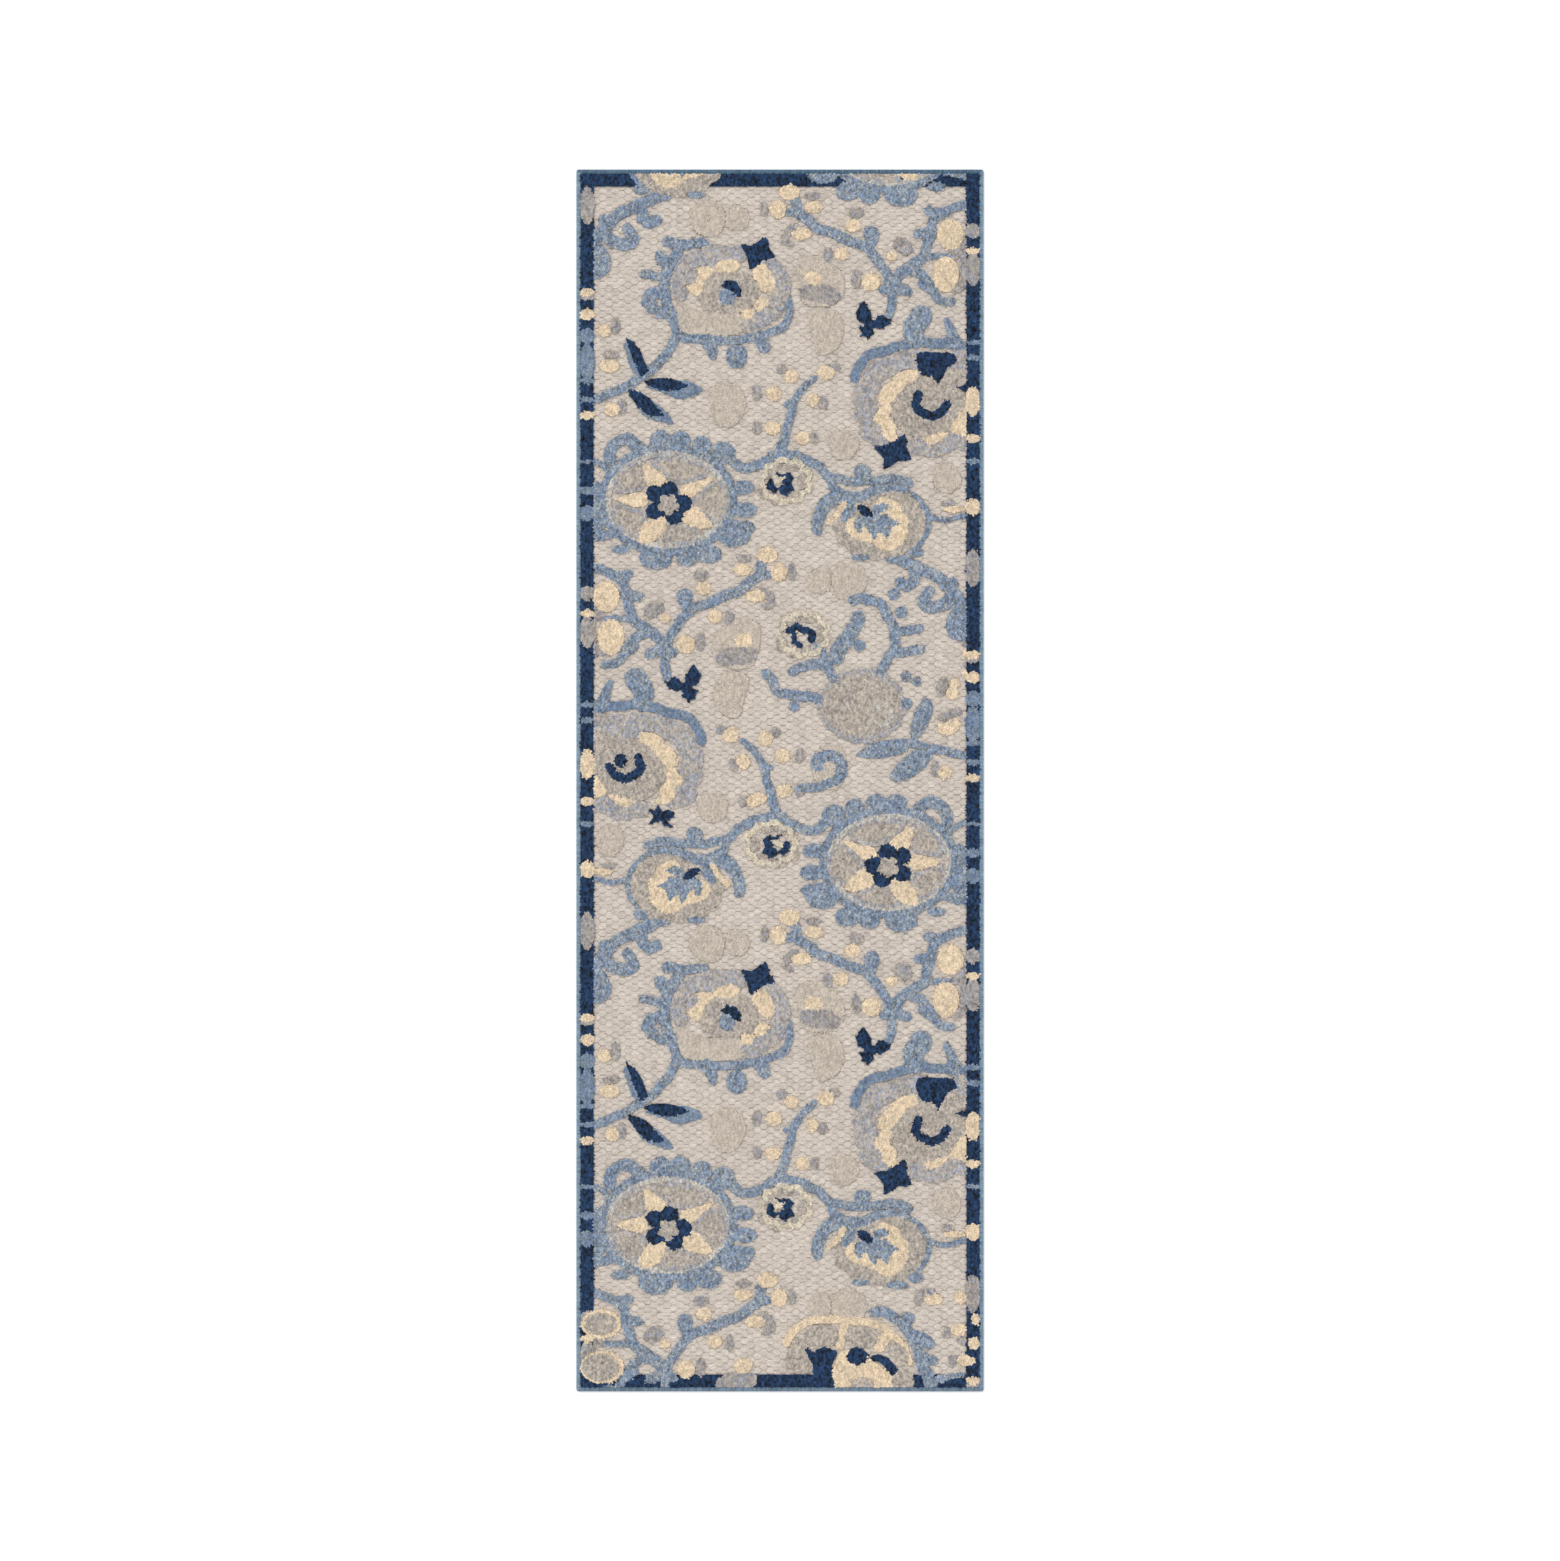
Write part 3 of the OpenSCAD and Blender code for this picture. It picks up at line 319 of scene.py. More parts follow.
# %% Shared parts of the trees
def random_number(tree, low, high, seed, draw, kind="FLOAT"):
    """A random number or vector for each point. Each draw of a tree has its own number."""
    first, result = {"FLOAT": (2, 1), "FLOAT_VECTOR": (0, 0)}[kind]
    node = add_node(tree, "FunctionNodeRandomValue", {
        first: low, first + 1: high, "Seed": math_node(tree, "ADD", seed, float(draw))}, data_type=kind)
    return node.outputs[result]


def brick_lattice(tree, given):
    """Points in brick order, and the socket that says where each point is."""
    across, along = given["Pitch Across"], given["Pitch Along"]
    grid = add_node(tree, "GeometryNodeMeshGrid", {
        "Size X": math_node(tree, "MULTIPLY", math_node(tree, "SUBTRACT", given["Columns"], 1.0), across),
        "Size Y": math_node(tree, "MULTIPLY", math_node(tree, "SUBTRACT", given["Rows"], 1.0), along),
        "Vertices X": given["Columns"], "Vertices Y": given["Rows"]})
    placed = add_node(tree, "GeometryNodeTransform", {
        "Geometry": grid.outputs[0], "Translation": given["Middle"]})
    here = add_node(tree, "GeometryNodeInputPosition").outputs[0]
    place_along = add_node(tree, "ShaderNodeSeparateXYZ", {0: here}).outputs[1]
    row = math_node(tree, "ROUND", math_node(tree, "DIVIDE", place_along, along))
    odd = math_node(tree, "MODULO", math_node(tree, "ABSOLUTE", row), 2.0)
    step = math_node(tree, "MULTIPLY", odd, math_node(tree, "MULTIPLY", across, 0.5))
    bricks = add_node(tree, "GeometryNodeSetPosition", {
        "Geometry": placed.outputs[0],
        "Offset": add_node(tree, "ShaderNodeCombineXYZ", {0: step}).outputs[0]})
    return bricks.outputs[0], here


def shaded_each(tree, instances, seed, draw):
    """Gives each instance a number that the yarn shader reads as its shade."""
    return add_node(tree, "GeometryNodeStoreNamedAttribute", {
        "Geometry": instances, "Name": "shade", "Value": random_number(tree, 0.0, 1.0, seed, draw)},
        data_type="FLOAT", domain="INSTANCE").outputs[0]


def close_tree(tree, geometry, yarn, output):
    """Makes instances real, gives them their yarn and links the end of the tree."""
    real = add_node(tree, "GeometryNodeRealizeInstances", {"Geometry": geometry})
    clothed = add_node(tree, "GeometryNodeSetMaterial", {"Geometry": real.outputs[0], "Material": yarn})
    tree.links.new(clothed.outputs[0], output)


print("shared: a brick lattice, a shade for each copy and the end of a tree")

# %% [markdown]
# ## The low body under the pile
# Pile is dense: between two tufts no ground shows, only the same yarn lower down, which the yarn
# shader paints darker as shade. So each area keeps a low solid body with its own outline, cut from
# the CAD solid by bringing its top down, and the tufts stand in it. The CAD mesh is loose triangles,
# so a copy is merged before anything else.

# %% Low bodies
pile_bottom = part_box("border_band")[0].z
pile_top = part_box("border_band")[1].z
BODY_HEIGHT = 2.0 * MM  # how much of the pile is so dense that it reads as solid


def merged_copy(node):
    """A CAD node's mesh as a bmesh with its doubles merged."""
    work = bmesh.new()
    work.from_mesh(frame["nodes"][node].data)
    bmesh.ops.remove_doubles(work, verts=work.verts, dist=1e-6)
    return work


def low_body(node):
    work = merged_copy(node)
    for vertex in work.verts:
        if vertex.co.z > pile_bottom + BODY_HEIGHT:
            vertex.co.z = pile_bottom + BODY_HEIGHT
    mesh = bpy.data.meshes.new(node + "_body")
    work.to_mesh(mesh)
    work.free()
    return mesh


print(f"pile from {pile_bottom / MM:.1f} to {pile_top / MM:.1f} mm")

# %% [markdown]
# ## The tufts
# The loom ties one tuft at each crossing of its warp and weft, so all areas of pile share one
# lattice, and their outlines step from tuft to tuft. The tree lays that lattice over an area,
# drops a ray from each point and keeps the points that land on the body. Each tuft is turned,
# tipped and stretched at random from a fixed seed, and remembers a number for its shade.

# %% One tuft
TUFT_SIDES, TUFT_FOOT_RADIUS, TUFT_TIP_RADIUS, TUFT_DOME = 4, 1.5 * MM, 1.9 * MM, 0.6 * MM
TUFT_ROOT, TUFT_SLACK = 0.5 * MM, 0.2 * MM  # left free under a tuft and over it
TUFT_STRAY = Vector((1.6 * MM, 1.7 * MM, 0))  # how far a tuft may stand from its crossing
TUFT_WIDTHS, TUFT_LENGTHS = (0.9, 1.15), (0.88, 1.0)  # shares that each one is stretched by
tuft_height = pile_top - pile_bottom - TUFT_ROOT - TUFT_SLACK


def tuft_mesh():
    """A small cone that opens upwards: a foot, a shoulder and one soft point on top."""
    rings = [(TUFT_FOOT_RADIUS, 0.0), (TUFT_TIP_RADIUS, tuft_height - TUFT_DOME)]
    vertices = [(wide * math.cos(math.tau * k / TUFT_SIDES), wide * math.sin(math.tau * k / TUFT_SIDES), up)
                for wide, up in rings for k in range(TUFT_SIDES)] + [(0, 0, tuft_height)]
    faces = [tuple(reversed(range(TUFT_SIDES)))]
    for k in range(TUFT_SIDES):
        after = (k + 1) % TUFT_SIDES
        faces += [(k, after, after + TUFT_SIDES, k + TUFT_SIDES),
                  (k + TUFT_SIDES, after + TUFT_SIDES, 2 * TUFT_SIDES)]
    mesh = bpy.data.meshes.new("tuft")
    mesh.from_pydata(vertices, [], faces)
    mesh.shade_smooth()
    return mesh


tuft_maker = bpy.data.objects.new("tuft_maker", tuft_mesh())
bpy.context.scene.collection.objects.link(tuft_maker)
print(f"one tuft is {tuft_height / MM:.1f} mm high and has {len(tuft_maker.data.polygons)} faces")

# %% [markdown]
# ## Where the tufts stand
# The same tuft is used some eighty thousand times, so it has only four sides, shaded smooth. An
# Object Info node brings it into the tree, which turns a lattice of points into pile.

# %% Tuft tree
tuft_tree, given, made = new_tree("tufts", "GeometryNodeTree", [
    ("Geometry", "OUTPUT", "NodeSocketGeometry", None),
    ("Area", "INPUT", "NodeSocketGeometry", None),
    ("Tuft", "INPUT", "NodeSocketObject", None),
    ("Middle", "INPUT", "NodeSocketVector", None),
    ("Columns", "INPUT", "NodeSocketInt", 10),
    ("Rows", "INPUT", "NodeSocketInt", 10),
    ("Pitch Across", "INPUT", "NodeSocketFloat", 0.0026),
    ("Pitch Along", "INPUT", "NodeSocketFloat", 0.0030),
    ("Foot Height", "INPUT", "NodeSocketFloat", 0.004),
    ("Lean", "INPUT", "NodeSocketFloat", 0.07),
    ("Seed", "INPUT", "NodeSocketInt", 1),
    ("Yarn", "INPUT", "NodeSocketMaterial", None),
])


lattice, here = brick_lattice(tuft_tree, given)
ray = add_node(tuft_tree, "GeometryNodeRaycast", {
    "Target Geometry": given["Area"], "Ray Direction": (0, 0, -1), "Ray Length": 0.05})
off_area = add_node(tuft_tree, "FunctionNodeBooleanMath", {0: ray.outputs["Is Hit"]}, operation="NOT")
kept = add_node(tuft_tree, "GeometryNodeDeleteGeometry", {
    "Geometry": lattice, "Selection": off_area.outputs[0]}, domain="POINT")
flat_place = add_node(tuft_tree, "ShaderNodeVectorMath", {0: here, 1: (1, 1, 0)}, operation="MULTIPLY")
foot = add_node(tuft_tree, "ShaderNodeVectorMath", {0: flat_place.outputs[0], 1: add_node(
    tuft_tree, "ShaderNodeCombineXYZ", {2: given["Foot Height"]}).outputs[0]}, operation="ADD")
# once it is known to stand in the area, a tuft may stray a little, which roughens the outline
rooted = add_node(tuft_tree, "GeometryNodeSetPosition", {
    "Geometry": kept.outputs[0], "Position": foot.outputs[0],
    "Offset": random_number(tuft_tree, -TUFT_STRAY, TUFT_STRAY, given["Seed"], 1, "FLOAT_VECTOR")})
shape = add_node(tuft_tree, "GeometryNodeObjectInfo", {"Object": given["Tuft"]})
# turn, tip and stretch each one
lean_low = math_node(tuft_tree, "MULTIPLY", given["Lean"], -1.0)
turns = add_node(tuft_tree, "ShaderNodeCombineXYZ", {
    0: random_number(tuft_tree, lean_low, given["Lean"], given["Seed"], 2),
    1: random_number(tuft_tree, lean_low, given["Lean"], given["Seed"], 3),
    2: random_number(tuft_tree, 0.0, math.tau, given["Seed"], 4)})
sizes = add_node(tuft_tree, "ShaderNodeCombineXYZ", {
    0: random_number(tuft_tree, *TUFT_WIDTHS, given["Seed"], 5),
    1: random_number(tuft_tree, *TUFT_WIDTHS, given["Seed"], 6),
    2: random_number(tuft_tree, *TUFT_LENGTHS, given["Seed"], 7)})
standing = add_node(tuft_tree, "GeometryNodeInstanceOnPoints", {
    "Points": rooted.outputs[0], "Instance": shape.outputs["Geometry"],
    "Rotation": turns.outputs[0], "Scale": sizes.outputs[0]})
both = add_node(tuft_tree, "GeometryNodeJoinGeometry")
tuft_tree.links.new(shaded_each(tuft_tree, standing.outputs[0], given["Seed"], 8), both.inputs[0])
tuft_tree.links.new(given["Area"], both.inputs[0])
close_tree(tuft_tree, both.outputs[0], given["Yarn"], made["Geometry"])
print("tuft tree:", len(tuft_tree.nodes), "nodes")

# %% [markdown]
# ## Dyeing the yarns
# Nine yarns make the whole pattern. Navy and cream are nearly plain. The denim blue, the pale
# blue and the heather are spun from blue and grey, so their second colour takes a large share. The
# last line is for one node: the ring of the small flower is cream mixed with the ground's grey.

# %% Yarn colours
YARNS = {
    # navy's strong clumping and unevenness are painted sheen on its fibres
    "navy_pile": ((32, 59, 94), (26, 46, 71), dict(second_share=0.4, clumping=5.0, unevenness=0.4)),
    "denim_pile": ((127, 144, 168), (169, 172, 171),
                   dict(second_share=0.45, patch_scale=70.0, clumping=2.5)),
    "pale_blue_pile": ((118, 137, 165), (144, 154, 159), dict(second_share=0.4)),
    "heather_pile": ((190, 180, 169), (155, 162, 180), dict(second_share=0.5, patch_scale=70.0)),
    "lilac_pile": ((177, 168, 159), (149, 153, 168), dict(second_share=0.4)),
    "taupe_pile": ((193, 182, 169), (161, 155, 152), dict(second_share=0.4, patch_scale=55.0)),
    "cream_pile": ((236, 214, 184), (219, 203, 178), dict(second_share=0.35, clumping=1.3, unevenness=0.2)),
    "greige_pile": ((207, 195, 181), (195, 185, 174), dict(second_share=0.4, clumping=1.1)),
    "mist_pile": ((207, 199, 187), (157, 167, 179), dict(second_share=0.4, patch_scale=70.0)),
    "small_rings": ((228, 215, 192), (192, 187, 175), dict(second_share=0.45, clumping=1.4)),
}
yarns = {name: yarn_material(name, first, second, **values)
         for name, (first, second, values) in YARNS.items()}
print(len(yarns), "yarns:", ", ".join(yarns))

# %% [markdown]
# ## Weaving the pattern
# Which node is woven in which yarn is already in the record, so it is read from there. The
# lattice always starts from the same corner of the rug: an area only asks for the part of it
# that covers its own box.

# %% Weave every area of pile
PITCH_ACROSS, PITCH_ALONG = 2.6 * MM, 3.0 * MM
slot_of = {part["node"]: part["material_slot"] for part in frame["record"]["subparts"]}
pile_nodes = [node for node, slot in slot_of.items() if slot.endswith("_pile")]
pile_pieces, pile_bodies = [], {}
for number, node in enumerate(pile_nodes):
    low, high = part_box(node)
    first_column, last_column = (math.floor(x / PITCH_ACROSS) for x in (low.x, high.x + PITCH_ACROSS))
    first_row, last_row = (math.floor(y / PITCH_ALONG) for y in (low.y, high.y + PITCH_ALONG))
    middle = Vector(((first_column + last_column) / 2 * PITCH_ACROSS,
                     (first_row + last_row) / 2 * PITCH_ALONG, pile_top + 0.01))
    body = low_body(node)
    pile_bodies[node] = body
    mesh = grown(tuft_tree, body, {
        "Tuft": tuft_maker, "Middle": middle, "Columns": last_column - first_column + 1,
        "Rows": last_row - first_row + 1, "Pitch Across": PITCH_ACROSS,
        "Pitch Along": PITCH_ALONG, "Foot Height": pile_bottom + TUFT_ROOT, "Seed": 10 * number,
        "Yarn": yarns.get(node, yarns[slot_of[node]])})
    pile_pieces.append(show(node + "_tufts", mesh, slot_of[node], node))
bpy.data.objects.remove(tuft_maker)

# %% [markdown]
# ## The ground cloth
# Under the net lies a closed sheet of cloth. Its own colour only shows through the eyes of the
# net, where it is the grey-brown warp darkened with painted shade.

# %% Ground cloth
work = merged_copy("ground_weave")
ground_low, ground_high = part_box("ground_weave")
for vertex in work.verts:
    if vertex.co.z > ground_low.z + 0.5 * MM:
        vertex.co.z = ground_low.z + 0.5 * MM
cloth_mesh = bpy.data.meshes.new("ground_cloth")
work.to_mesh(cloth_mesh)
work.free()
# the warp's colour is darkened with painted shade, and its ribs get painted shade in the grooves
cloth_mesh.materials.append(yarn_material(
    "warp in painted shade", (196, 183, 172), (206, 194, 184), root_height=0.0, tip_height=0.001,
    threads=(700.0, 0.0, 0.0)))
cloth = show("ground_cloth", cloth_mesh, "ground_yarn", "ground_weave")
print(f"cloth {(ground_high.x - ground_low.x) / MM:.0f} x {(ground_high.y - ground_low.y) / MM:.0f} mm")

# %% [markdown]
# ## The net
# The loom binds the ground down along a net of short lines, and between them the wefts swell into
# six-sided cushions. The bound lines that run across the rug are the widest, and read as dark
# dashes. One cushion is modelled from given points: a six-sided outline with the middle of each side
# added, a low shoulder, and a dimple where one more thread holds the middle down.

# %% One cushion of the net
CELL_ACROSS, CELL_ALONG = 19.3 * MM, 10.9 * MM  # from a cushion to the next one in its row and column
CUSHION_TIP, CUSHION_SIDE, CUSHION_HALF_LENGTH = 7.2 * MM, 3.2 * MM, 5.15 * MM
# how wide each ring of the cushion is, and how high
CUSHION_RINGS = [(0.97, 0.0), (1.0, 0.34), (0.8, 0.5)]
CUSHION_DIMPLE = 0.45


def cushion_mesh():
    corners = [Vector((CUSHION_TIP, 0, 0)), Vector((CUSHION_SIDE, CUSHION_HALF_LENGTH, 0))]
    corners += [Vector((-c.x, c.y, 0)) for c in reversed(corners)]
    corners += [Vector((c.x, -c.y, 0)) for c in reversed(corners[1:3])]
    outline = []
    for i, corner in enumerate(corners):
        outline += [corner, (corner + corners[(i + 1) % 6]) / 2]
    count = len(outline)
    vertices = [(p.x * wide, p.y * wide, high * MM) for wide, high in CUSHION_RINGS for p in outline]
    vertices.append((0, 0, CUSHION_DIMPLE * MM))
    faces = [tuple(reversed(range(count)))]
    for ring in range(len(CUSHION_RINGS) - 1):
        for k in range(count):
            a, b = ring * count + k, ring * count + (k + 1) % count
            faces.append((a, b, b + count, a + count))
    last = (len(CUSHION_RINGS) - 1) * count
    faces += [(last + k, last + (k + 1) % count, len(vertices) - 1) for k in range(count)]
    mesh = bpy.data.meshes.new("cushion")
    mesh.from_pydata(vertices, [], faces)
    mesh.shade_smooth()
    return mesh


cushion = cushion_mesh()
print("one cushion:", len(cushion.polygons), "faces")

# %% [markdown]
# ## Laying out the net
# Cushions stand in brick order. A cushion is left out where five rays round it all land on pile,
# so that the net runs on under the edge of every motif. Here the start mesh is the pile's low
# bodies, because the rays need it, and the cushion comes in through an Object Info node.

# %% Net tree
RAY_ACROSS, RAY_ALONG = 5.5 * MM, 4.5 * MM  # how far from a cushion's middle its outer rays start
CUSHION_STRAY = Vector((0.3 * MM, 0.2 * MM, 0))
CUSHION_TURN = Vector((0.02, 0.02, 0.06))  # radians
CUSHION_SIZES = (0.95, 0.93, 0.9), (1.03, 1.02, 1.15)  # the least and the most it is stretched by

net_tree, given, made = new_tree("net", "GeometryNodeTree", [
    ("Geometry", "OUTPUT", "NodeSocketGeometry", None),
    ("Pile", "INPUT", "NodeSocketGeometry", None),
    ("Cushion", "INPUT", "NodeSocketObject", None),
    ("Middle", "INPUT", "NodeSocketVector", None),
    ("Columns", "INPUT", "NodeSocketInt", 10),
    ("Rows", "INPUT", "NodeSocketInt", 10),
    ("Pitch Across", "INPUT", "NodeSocketFloat", 0.0193),
    ("Pitch Along", "INPUT", "NodeSocketFloat", 0.00545),
    ("Height", "INPUT", "NodeSocketFloat", 0.003),
    ("Reach", "INPUT", "NodeSocketVector", None),
    ("Seed", "INPUT", "NodeSocketInt", 1),
    ("Yarn", "INPUT", "NodeSocketMaterial", None),
])


lattice, here = brick_lattice(net_tree, given)
spot = add_node(net_tree, "ShaderNodeSeparateXYZ", {0: here}).outputs


def meets_pile(across, along):
    """Whether a ray that starts this far from the cushion's middle lands on pile."""
    start = add_node(net_tree, "ShaderNodeVectorMath", {0: here, 1: (across, along, 0)}, operation="ADD")
    return add_node(net_tree, "GeometryNodeRaycast", {
        "Target Geometry": given["Pile"], "Source Position": start.outputs[0],
        "Ray Direction": (0, 0, -1), "Ray Length": 0.05}).outputs["Is Hit"]


covered = meets_pile(0, 0)
for across, along in ((-RAY_ACROSS, 0), (RAY_ACROSS, 0), (0, -RAY_ALONG), (0, RAY_ALONG)):
    covered = add_node(net_tree, "FunctionNodeBooleanMath", {
        0: covered, 1: meets_pile(across, along)}, operation="AND").outputs[0]
reach = add_node(net_tree, "ShaderNodeSeparateXYZ", {0: given["Reach"]}).outputs
outside = math_node(net_tree, "MAXIMUM", *(math_node(
    net_tree, "GREATER_THAN", math_node(net_tree, "ABSOLUTE", spot[i]), reach[i]) for i in (0, 1)))
drop = add_node(net_tree, "FunctionNodeBooleanMath", {0: covered, 1: outside}, operation="OR")
kept = add_node(net_tree, "GeometryNodeDeleteGeometry", {
    "Geometry": lattice, "Selection": drop.outputs[0]}, domain="POINT")
level = add_node(net_tree, "ShaderNodeCombineXYZ", {
    0: spot[0], 1: spot[1], 2: given["Height"]})
rooted = add_node(net_tree, "GeometryNodeSetPosition", {
    "Geometry": kept.outputs[0], "Position": level.outputs[0],
    "Offset": random_number(net_tree, -CUSHION_STRAY, CUSHION_STRAY, given["Seed"], 4, "FLOAT_VECTOR")})
shape = add_node(net_tree, "GeometryNodeObjectInfo", {"Object": given["Cushion"]})
laid = add_node(net_tree, "GeometryNodeInstanceOnPoints", {
    "Points": rooted.outputs[0], "Instance": shape.outputs["Geometry"],
    "Rotation": random_number(net_tree, -CUSHION_TURN, CUSHION_TURN, given["Seed"], 1, "FLOAT_VECTOR"),
    "Scale": random_number(net_tree, *CUSHION_SIZES, given["Seed"], 2, "FLOAT_VECTOR")})
close_tree(net_tree, shaded_each(net_tree, laid.outputs[0], given["Seed"], 3), given["Yarn"],
           made["Geometry"])
print("net tree:", len(net_tree.nodes), "nodes")

# %% Weave the net
work = bmesh.new()
for body in pile_bodies.values():
    work.from_mesh(body)
all_pile = bpy.data.meshes.new("all_pile")
work.to_mesh(all_pile)
work.free()
cushion_maker = bpy.data.objects.new("cushion_maker", cushion)
bpy.context.scene.collection.objects.link(cushion_maker)

NET_LENGTHS = 4
NET_PICKS = 6  # wefts in the length of one cushion
row_pitch = CELL_ALONG / 2
# painted shade: each cushion darkens towards its low rim and in the grooves between its picks
net_yarn = yarn_material("net yarn", (216, 205, 194), (208, 197, 187), second_share=0.4, clumping=1.0,
    grain=(0.5, 1.5, 1.0), fibre_contrast=1.0, patch_scale=9.0, root_height=0.0028, tip_height=0.0033,
    root_shade=0.88, threads=(0.0, NET_PICKS / CELL_ALONG, 0.0), bump=0.0003)
# from the rug's middle to the last cushion, which has to stop under the edge yarn
inside = Vector((ground_high.x - 8 * MM, ground_high.y - 6 * MM, 0))
columns = 2 * math.ceil(ground_high.x / CELL_ACROSS)
rows = 2 * math.ceil(ground_high.y / row_pitch / NET_LENGTHS)
for number in range(NET_LENGTHS):
    row_middle = (number - (NET_LENGTHS - 1) / 2) * rows - 0.5
    mesh = grown(net_tree, all_pile, {
        "Cushion": cushion_maker, "Columns": columns, "Rows": rows,
        "Middle": Vector((-CELL_ACROSS / 4, row_middle * row_pitch, pile_top + 0.01)),
        "Pitch Across": CELL_ACROSS, "Pitch Along": row_pitch,
        "Height": ground_low.z + 0.4 * MM, "Reach": inside, "Seed": 1000 + number, "Yarn": net_yarn})
    show(f"net_{number + 1}", mesh, "ground_yarn")
bpy.data.objects.remove(cushion_maker)

# %% [markdown]
# ## The overcast edge
# A soft twisted yarn is wound over the cut edge, side by side, from under the cloth round to the
# top. One wrap is modelled as a flattened yarn along a C-shaped path, with the upper end a
# little further along the edge than the lower, because the needle moves on while it goes round.

# %% One wrap of yarn
WRAP_PITCH = 2.6 * MM
# how far in from the rug's edge, and how high, the middle of the yarn runs
WRAP_PATH = [(7.0, 3.9), (6.2, 4.15), (3.4, 4.2), (1.5, 3.85), (0.62, 2.9),
             (0.62, 1.7), (1.4, 0.7), (3.4, 0.5), (6.6, 0.5)]
WRAP_HALF_WIDTH, WRAP_HALF_THICKNESS, WRAP_SLANT = 1.5 * MM, 0.5 * MM, 1.6 * MM
WRAP_SIDES = 5


def wrap_mesh():
    """One wrap: the edge runs along Y through the origin and the rug lies on the -X side."""
    path = [Vector((-inward * MM, 0, height * MM)) for inward, height in WRAP_PATH]
    vertices, faces = [], []
    for i, point in enumerate(path):
        ahead = (path[min(i + 1, len(path) - 1)] - path[max(i - 1, 0)]).normalized()
        out = ahead.cross(Vector((0, 1, 0)))
        along = WRAP_SLANT * (0.5 - i / (len(path) - 1))
        for k in range(WRAP_SIDES):
            turn = math.tau * k / WRAP_SIDES
            vertices.append(point + out * WRAP_HALF_THICKNESS * math.cos(turn)
                            + Vector((0, along + WRAP_HALF_WIDTH * math.sin(turn), 0)))
    for i in range(len(path) - 1):
        for k in range(WRAP_SIDES):
            a, b = i * WRAP_SIDES + k, i * WRAP_SIDES + (k + 1) % WRAP_SIDES
            faces.append((a, b, b + WRAP_SIDES, a + WRAP_SIDES))
    faces.append(tuple(reversed(range(WRAP_SIDES))))
    faces.append(tuple(range((len(path) - 1) * WRAP_SIDES, len(path) * WRAP_SIDES)))
    mesh = bpy.data.meshes.new("wrap")
    mesh.from_pydata(vertices, [], faces)
    work = bmesh.new()
    work.from_mesh(mesh)
    bmesh.ops.recalc_face_normals(work, faces=work.faces)
    work.to_mesh(mesh)
    work.free()
    mesh.shade_smooth()
    return mesh


wrap = wrap_mesh()
print("one wrap:", len(wrap.vertices), "points")

# %% [markdown]
# ## Winding the edge
# The wraps follow the rug's outline: a rectangle with its corners rounded, cut into even steps.
# Each wrap turns so that its own X points away from the rug. The four runs meet on the mitre at
# each corner, as the solids do, so each tree keeps only the steps that are nearest to its side.

# %% Edge tree
WRAP_SIZES = (0.985, 0.92, 0.97), (1.0, 1.1, 1.0)  # the least and the most a wrap is stretched by

edge_tree, given, made = new_tree("overcast edge", "GeometryNodeTree", [
    ("Geometry", "OUTPUT", "NodeSocketGeometry", None),
    ("Wrap", "INPUT", "NodeSocketGeometry", None),
    ("Width", "INPUT", "NodeSocketFloat", 0.61),
    ("Length", "INPUT", "NodeSocketFloat", 1.829),
    ("Corner Radius", "INPUT", "NodeSocketFloat", 0.004),
    ("Pitch", "INPUT", "NodeSocketFloat", 0.0026),
    ("Facing", "INPUT", "NodeSocketVector", None),
    ("Seed", "INPUT", "NodeSocketInt", 1),
    ("Yarn", "INPUT", "NodeSocketMaterial", None),
])
outline = add_node(edge_tree, "GeometryNodeCurvePrimitiveQuadrilateral", {
    "Width": given["Width"], "Height": given["Length"]})
rounded = add_node(edge_tree, "GeometryNodeFilletCurve", {
    "Curve": outline.outputs[0], "Radius": given["Corner Radius"], "Count": 6}, mode="POLY")
stepped = add_node(edge_tree, "GeometryNodeResampleCurve", {
    "Curve": rounded.outputs[0], "Length": given["Pitch"]}, mode="LENGTH")
here = add_node(edge_tree, "GeometryNodeInputPosition").outputs[0]
half = add_node(edge_tree, "ShaderNodeVectorMath", {0: add_node(edge_tree, "ShaderNodeCombineXYZ", {
    0: given["Width"], 1: given["Length"]}).outputs[0], 1: (0.5, 0.5, 0)}, operation="MULTIPLY")
size_here = add_node(edge_tree, "ShaderNodeVectorMath", {0: here}, operation="ABSOLUTE")
inward = add_node(edge_tree, "ShaderNodeVectorMath", {
    0: half.outputs[0], 1: size_here.outputs[0]}, operation="SUBTRACT")
inward_xyz = add_node(edge_tree, "ShaderNodeSeparateXYZ", {0: inward.outputs[0]}).outputs
facing_xyz = add_node(edge_tree, "ShaderNodeSeparateXYZ", {0: given["Facing"]}).outputs
# 1 where the nearest side is a long one
near_long = math_node(edge_tree, "LESS_THAN", inward_xyz[0], inward_xyz[1])
is_long = math_node(edge_tree, "GREATER_THAN", math_node(edge_tree, "ABSOLUTE", facing_xyz[0]), 0.5)
right_kind = math_node(edge_tree, "COMPARE", near_long, is_long, 0.1)
this_way = add_node(edge_tree, "ShaderNodeVectorMath", {0: here, 1: given["Facing"]},
                    operation="DOT_PRODUCT").outputs["Value"]
mine = math_node(edge_tree, "MULTIPLY", right_kind, math_node(edge_tree, "GREATER_THAN", this_way, 0.0))
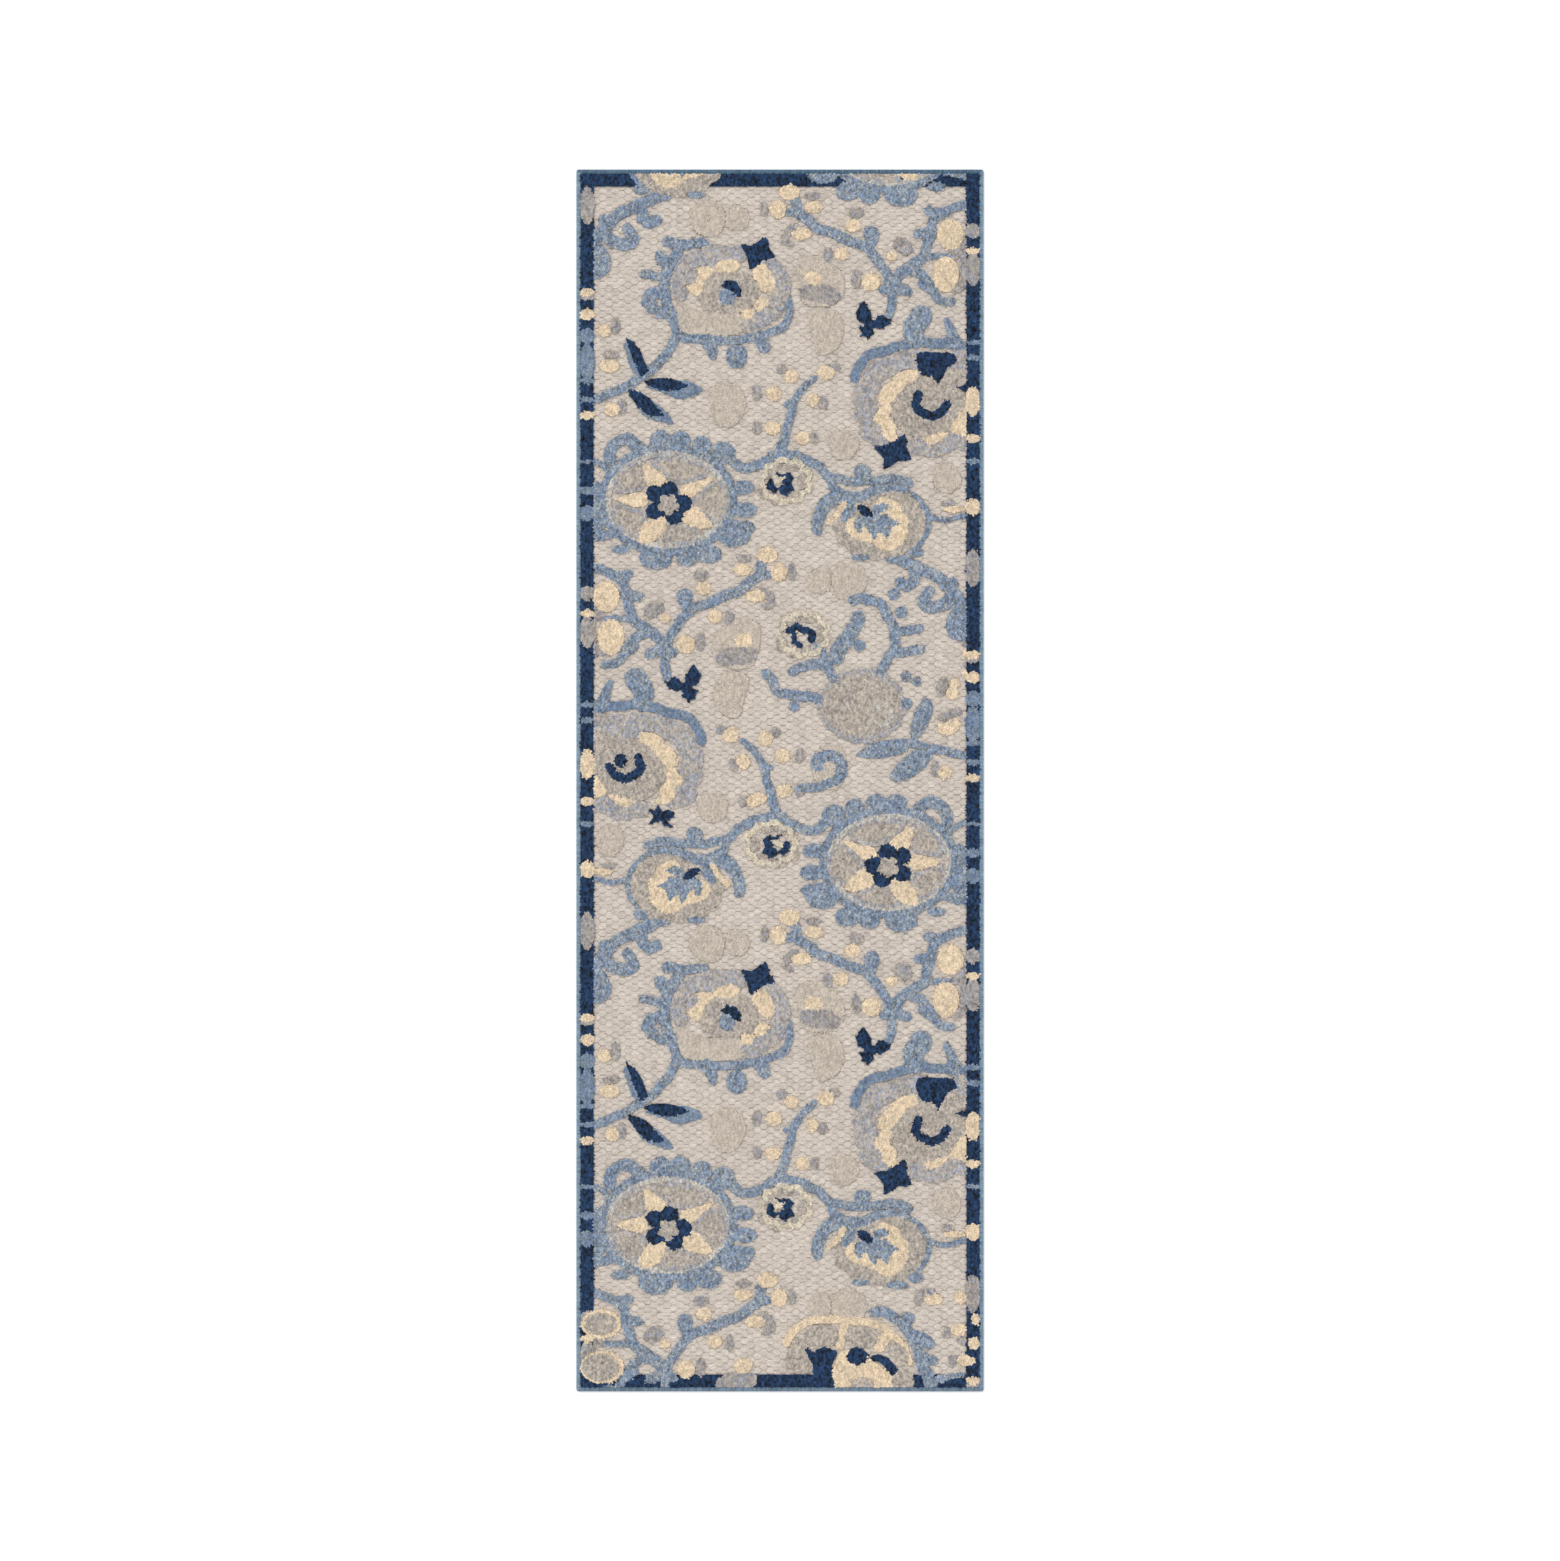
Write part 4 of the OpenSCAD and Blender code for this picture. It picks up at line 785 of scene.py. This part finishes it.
# the way out of the rug is the line of the edge turned by a quarter
tangent = add_node(edge_tree, "GeometryNodeInputTangent").outputs[0]
across = add_node(edge_tree, "ShaderNodeVectorMath", {0: tangent, 1: (0, 0, 1)},
                  operation="CROSS_PRODUCT").outputs[0]
sign = math_node(edge_tree, "SIGN", add_node(edge_tree, "ShaderNodeVectorMath", {
    0: across, 1: here}, operation="DOT_PRODUCT").outputs["Value"])
outward = add_node(edge_tree, "ShaderNodeVectorMath", {0: across, "Scale": sign}, operation="SCALE")
faced = add_node(edge_tree, "FunctionNodeAlignRotationToVector", {
    "Vector": outward.outputs[0]}, axis="X", pivot_axis="Z")
wound = add_node(edge_tree, "GeometryNodeInstanceOnPoints", {
    "Points": stepped.outputs[0], "Selection": mine, "Instance": given["Wrap"],
    "Rotation": faced.outputs[0],
    "Scale": random_number(edge_tree, *WRAP_SIZES, given["Seed"], 1, "FLOAT_VECTOR")})
close_tree(edge_tree, shaded_each(edge_tree, wound.outputs[0], given["Seed"], 2), given["Yarn"],
           made["Geometry"])
print("edge tree:", len(edge_tree.nodes), "nodes")

# %% Wind the four runs
# painted shade: root_height and tip_height darken the lower part of each wrap
edge_tone_and_shade = dict(second_share=0.4, unevenness=0.2, clumping=0.4, patch_scale=20.0,
                   root_height=0.0, tip_height=0.002, sheen=0.3)
side_yarn = yarn_material("side edge yarn", (134, 158, 176), (112, 136, 156), **edge_tone_and_shade)
# the far and near ends are darker copies of the side yarn: painted shade
far_yarn_painted_shade = yarn_material("far edge yarn in painted shade", (88, 118, 140), (68, 95, 118), **edge_tone_and_shade)
near_yarn_painted_shade = yarn_material("near edge yarn in painted shade", (120, 141, 160), (94, 116, 136), **edge_tone_and_shade)
SIDES = {"serging_left": ((-1, 0, 0), side_yarn), "serging_right": ((1, 0, 0), side_yarn),
         "serging_far": ((0, 1, 0), far_yarn_painted_shade), "serging_near": ((0, -1, 0), near_yarn_painted_shade)}
for number, (node, (facing, edge_yarn)) in enumerate(SIDES.items()):
    mesh = grown(edge_tree, wrap, {
        "Width": rug_w, "Length": rug_l, "Pitch": WRAP_PITCH, "Facing": Vector(facing),
        "Seed": 2000 + 10 * number, "Yarn": edge_yarn})
    show(node + "_wraps", mesh, "serging_yarn", node)

# %% [markdown]
# ## The back and the hidden layers
# The wefts and the stuffer lie between the back coat and the ground, and show only where the rug
# is cut or lifted. They keep their CAD shape and get the finish of flat spun yarn. The back coat is
# a thin latex that the weave prints through, so it has ribs both ways.

# %% Finishes for the nodes that stay
# the threads give ribs, with painted shade in their grooves
LAYERS = {
    "weft_under": ((192, 166, 128), (176, 150, 112), (0.0, 400.0, 0.0)),
    "weft_over": ((192, 166, 128), (176, 150, 112), (0.0, 400.0, 0.0)),
    "stuffer_warp": ((214, 200, 178), (200, 186, 164), (400.0, 0.0, 0.0)),
    "back_coat": ((176, 166, 150), (162, 152, 137), (260.0, 330.0, 0.0)),
}
for node, (first, second, threads) in LAYERS.items():
    material = yarn_material(node + " finish", first, second, root_height=-0.001, tip_height=0.0,
                             clumping=0.5, bump=0.0008, threads=threads)
    ob = frame["nodes"][node]
    ob.data.materials.clear()
    ob.data.materials.append(material)
print(len(LAYERS), "hidden layers finished")
